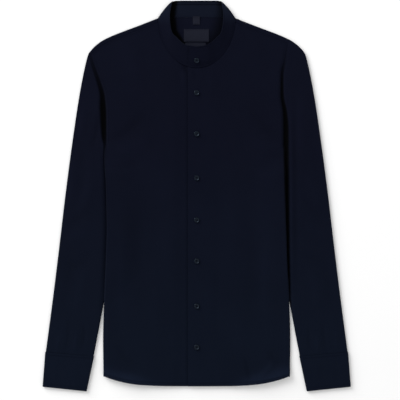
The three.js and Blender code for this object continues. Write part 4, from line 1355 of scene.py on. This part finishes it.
class SHIRT_OT_back(bpy.types.Operator):
    """Build the back panel and the yoke over the shoulders"""

    bl_idname = "shirt.back"
    bl_label = "Back and yoke"

    def execute(self, context):
        back = cloth_piece("back_cloth", back_surface(), (0, 0, LOFT / 2), "shirting", shirting())
        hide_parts("back")
        points, cells = yoke_surface()
        # The yoke gets the painted shade inside the neck on its flat part
        yoke = cloth_piece(
            "yoke_cloth", points, (0, 300, LOFT / 2), "yoke", shirting(),
            cells=cells, painted_shading=neck_painted_shade(points) * (points[..., 2] < ROLL))
        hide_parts("yoke")
        return {"FINISHED"}


class SHIRT_OT_sleeves(bpy.types.Operator):
    """Build both sleeves as flattened tubes"""

    bl_idname = "shirt.sleeves"
    bl_label = "Sleeves"

    def execute(self, context):
        for side in (RIGHT, LEFT):
            points = sleeve_surface(side)
            piece = cloth_piece(
                f"{side.name}_sleeve_cloth", points, side.inside(235, -60, LOFT / 2), "shirting", shirting(),
                ring=True, painted_shading=sleeve_painted_shading(side, points))
            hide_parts(f"sleeve_{side.name}")
        return {"FINISHED"}


class SHIRT_OT_cuffs(bpy.types.Operator):
    """Build both cuffs"""

    bl_idname = "shirt.cuffs"
    bl_label = "Cuffs"

    def execute(self, context):
        for side in (RIGHT, LEFT):
            inside = side.inside(265, -362, CUFF_LOFT / 2)
            piece = cloth_piece(
                f"{side.name}_cuff_cloth", cuff_surface(side), inside, "cuff", shirting(), ring=True)
            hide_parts(f"cuff_{side.name}")
        return {"FINISHED"}


class SHIRT_OT_collar_band(bpy.types.Operator):
    """Build the standing collar band"""

    bl_idname = "shirt.collar_band"
    bl_label = "Collar band"

    def execute(self, context):
        points, painted_shading = band_surface()
        piece = cloth_piece("collar_band_cloth", points, (0, 352, 7), "band", collar_cloth(), painted_shading=painted_shading)
        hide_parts("collar_band")
        return {"FINISHED"}


class SHIRT_OT_buttons(bpy.types.Operator):
    """Build the buttons and the thread that holds them"""

    bl_idname = "shirt.buttons"
    bl_label = "Buttons"

    def execute(self, context):
        material = material_once("navy_resin", resin, context.scene.shirt_buttons.colour)
        disc = button_surface()
        paths = []
        for number, (middle, slope) in enumerate(button_places(), 1):
            piece = disc_piece(f"shirt_button_{number}", tilted(disc, slope, middle), material)
            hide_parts(f"button_{number}")
            paths += button_thread_paths(slope, middle)
        stitch_piece("button_thread", paths, thread())
        return {"FINISHED"}


class SHIRT_OT_labels(bpy.types.Operator):
    """Build the bare woven labels inside the neck"""

    bl_idname = "shirt.labels"
    bl_label = "Labels"

    def execute(self, context):
        paths = []
        for name, label in LABELS.items():
            x, y = label["x"], label["y"]
            under = (sum(x) / 2, sum(y) / 2, -40)
            piece = cloth_piece(f"woven_label_{name}", label_surface(name), under, "label", label_cloth())
            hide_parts(f"label_{name}")
            paths += label_paths(name, 0.22)
        stitch_piece("label_stitches", paths, thread())
        return {"FINISHED"}


class SHIRT_OT_topstitching(bpy.types.Operator):
    """Sew the rows of topstitching along hem, armholes, yoke, cuffs and collar band"""

    bl_idname = "shirt.topstitching"
    bl_label = "Topstitching"

    def execute(self, context):
        above = context.scene.shirt_stitching.thread_width / MM * STITCH_SINK
        paths = [
            *front_paths(RIGHT, above),
            *front_paths(LEFT, above),
            *cuff_paths(RIGHT, above),
            *cuff_paths(LEFT, above),
            *band_paths(above),
        ]
        stitch_piece("topstitching", paths, thread())
        return {"FINISHED"}


class SHIRT_OT_stage(bpy.types.Operator):
    """Set the floor, the lights and the camera that looks straight down"""

    bl_idname = "shirt.stage"
    bl_label = "Floor, light and camera"

    def execute(self, context):
        scene = context.scene
        stage = scene.shirt_stage
        self.floor(scene, stage)
        self.lights(scene, stage)
        self.camera(scene, stage)
        scene.view_settings.view_transform = "Standard"
        return {"FINISHED"}

    def floor(self, scene, stage):
        """A level square sheet, a hair under the garment."""
        half, z = FLOOR["half"], -FLOOR["below"]
        mesh = bpy.data.meshes.new("floor")
        corners = [(-half, -half, z), (half, -half, z), (half, half, z), (-half, half, z)]
        mesh.from_pydata(corners, [], [(0, 1, 2, 3)])
        mesh.materials.append(material_once("paper_floor", paper, stage.floor_colour))
        floor = bpy.data.objects.new("floor", mesh)
        scene.collection.objects.link(floor)

    def lights(self, scene, stage):
        """A large, far key light low at the upper left, and even light from all round."""
        key = bpy.data.lights.new("key", "AREA")
        key.energy = stage.key_power
        key.size = KEY_LIGHT["size"]
        lamp = bpy.data.objects.new("key", key)
        lamp.location = KEY_LIGHT["place"]
        lamp.rotation_euler = (-lamp.location).to_track_quat("-Z", "Y").to_euler()
        scene.collection.objects.link(lamp)
        world = bpy.data.worlds.new("studio")
        world.use_nodes = True
        fill(world.node_tree, world.node_tree.nodes["Background"],
             {"Color": (1, 1, 1, 1), "Strength": stage.sky_light})
        scene.world = world

    def camera(self, scene, stage):
        """Straight above the middle of the photograph."""
        camera = bpy.data.cameras.new("camera")
        camera.lens = stage.lens
        camera.sensor_width = CAMERA["sensor"]
        camera.clip_end = CAMERA["far"]
        eye = bpy.data.objects.new("camera", camera)
        eye.location = (CAMERA["x"], CAMERA["y"], stage.camera_height)
        scene.collection.objects.link(eye)
        scene.camera = eye


class SHIRT_PT_panel(bpy.types.Panel):
    bl_idname = "SHIRT_PT_panel"
    bl_label = "Shirt"
    bl_space_type = "VIEW_3D"
    bl_region_type = "UI"
    bl_category = "Shirt"

    def draw(self, context):
        for settings in GROUPS:
            group = getattr(context.scene, settings)
            box = self.layout.box()
            for name in group.__annotations__:
                box.prop(group, name)
        for step in STEPS:
            self.layout.operator(step.bl_idname)


GROUPS = {
    "shirt_cloth": ShirtCloth,
    "shirt_stitching": ShirtStitching,
    "shirt_buttons": ShirtButtons,
    "shirt_stage": ShirtStage,
}
STEPS = (
    SHIRT_OT_fronts,
    SHIRT_OT_back,
    SHIRT_OT_sleeves,
    SHIRT_OT_cuffs,
    SHIRT_OT_collar_band,
    SHIRT_OT_buttons,
    SHIRT_OT_labels,
    SHIRT_OT_topstitching,
    SHIRT_OT_stage,
)


def register():
    for item in (*GROUPS.values(), *STEPS, SHIRT_PT_panel):
        bpy.utils.register_class(item)
    for name, group in GROUPS.items():
        setattr(bpy.types.Scene, name, bpy.props.PointerProperty(type=group))


def unregister():
    for name in GROUPS:
        delattr(bpy.types.Scene, name)
    for item in (SHIRT_PT_panel, *STEPS, *GROUPS.values()):
        bpy.utils.unregister_class(item)


def main():
    register()
    for step in STEPS:
        group, name = step.bl_idname.split(".")
        getattr(getattr(bpy.ops, group), name)()


if __name__ == "__main__":
    main()
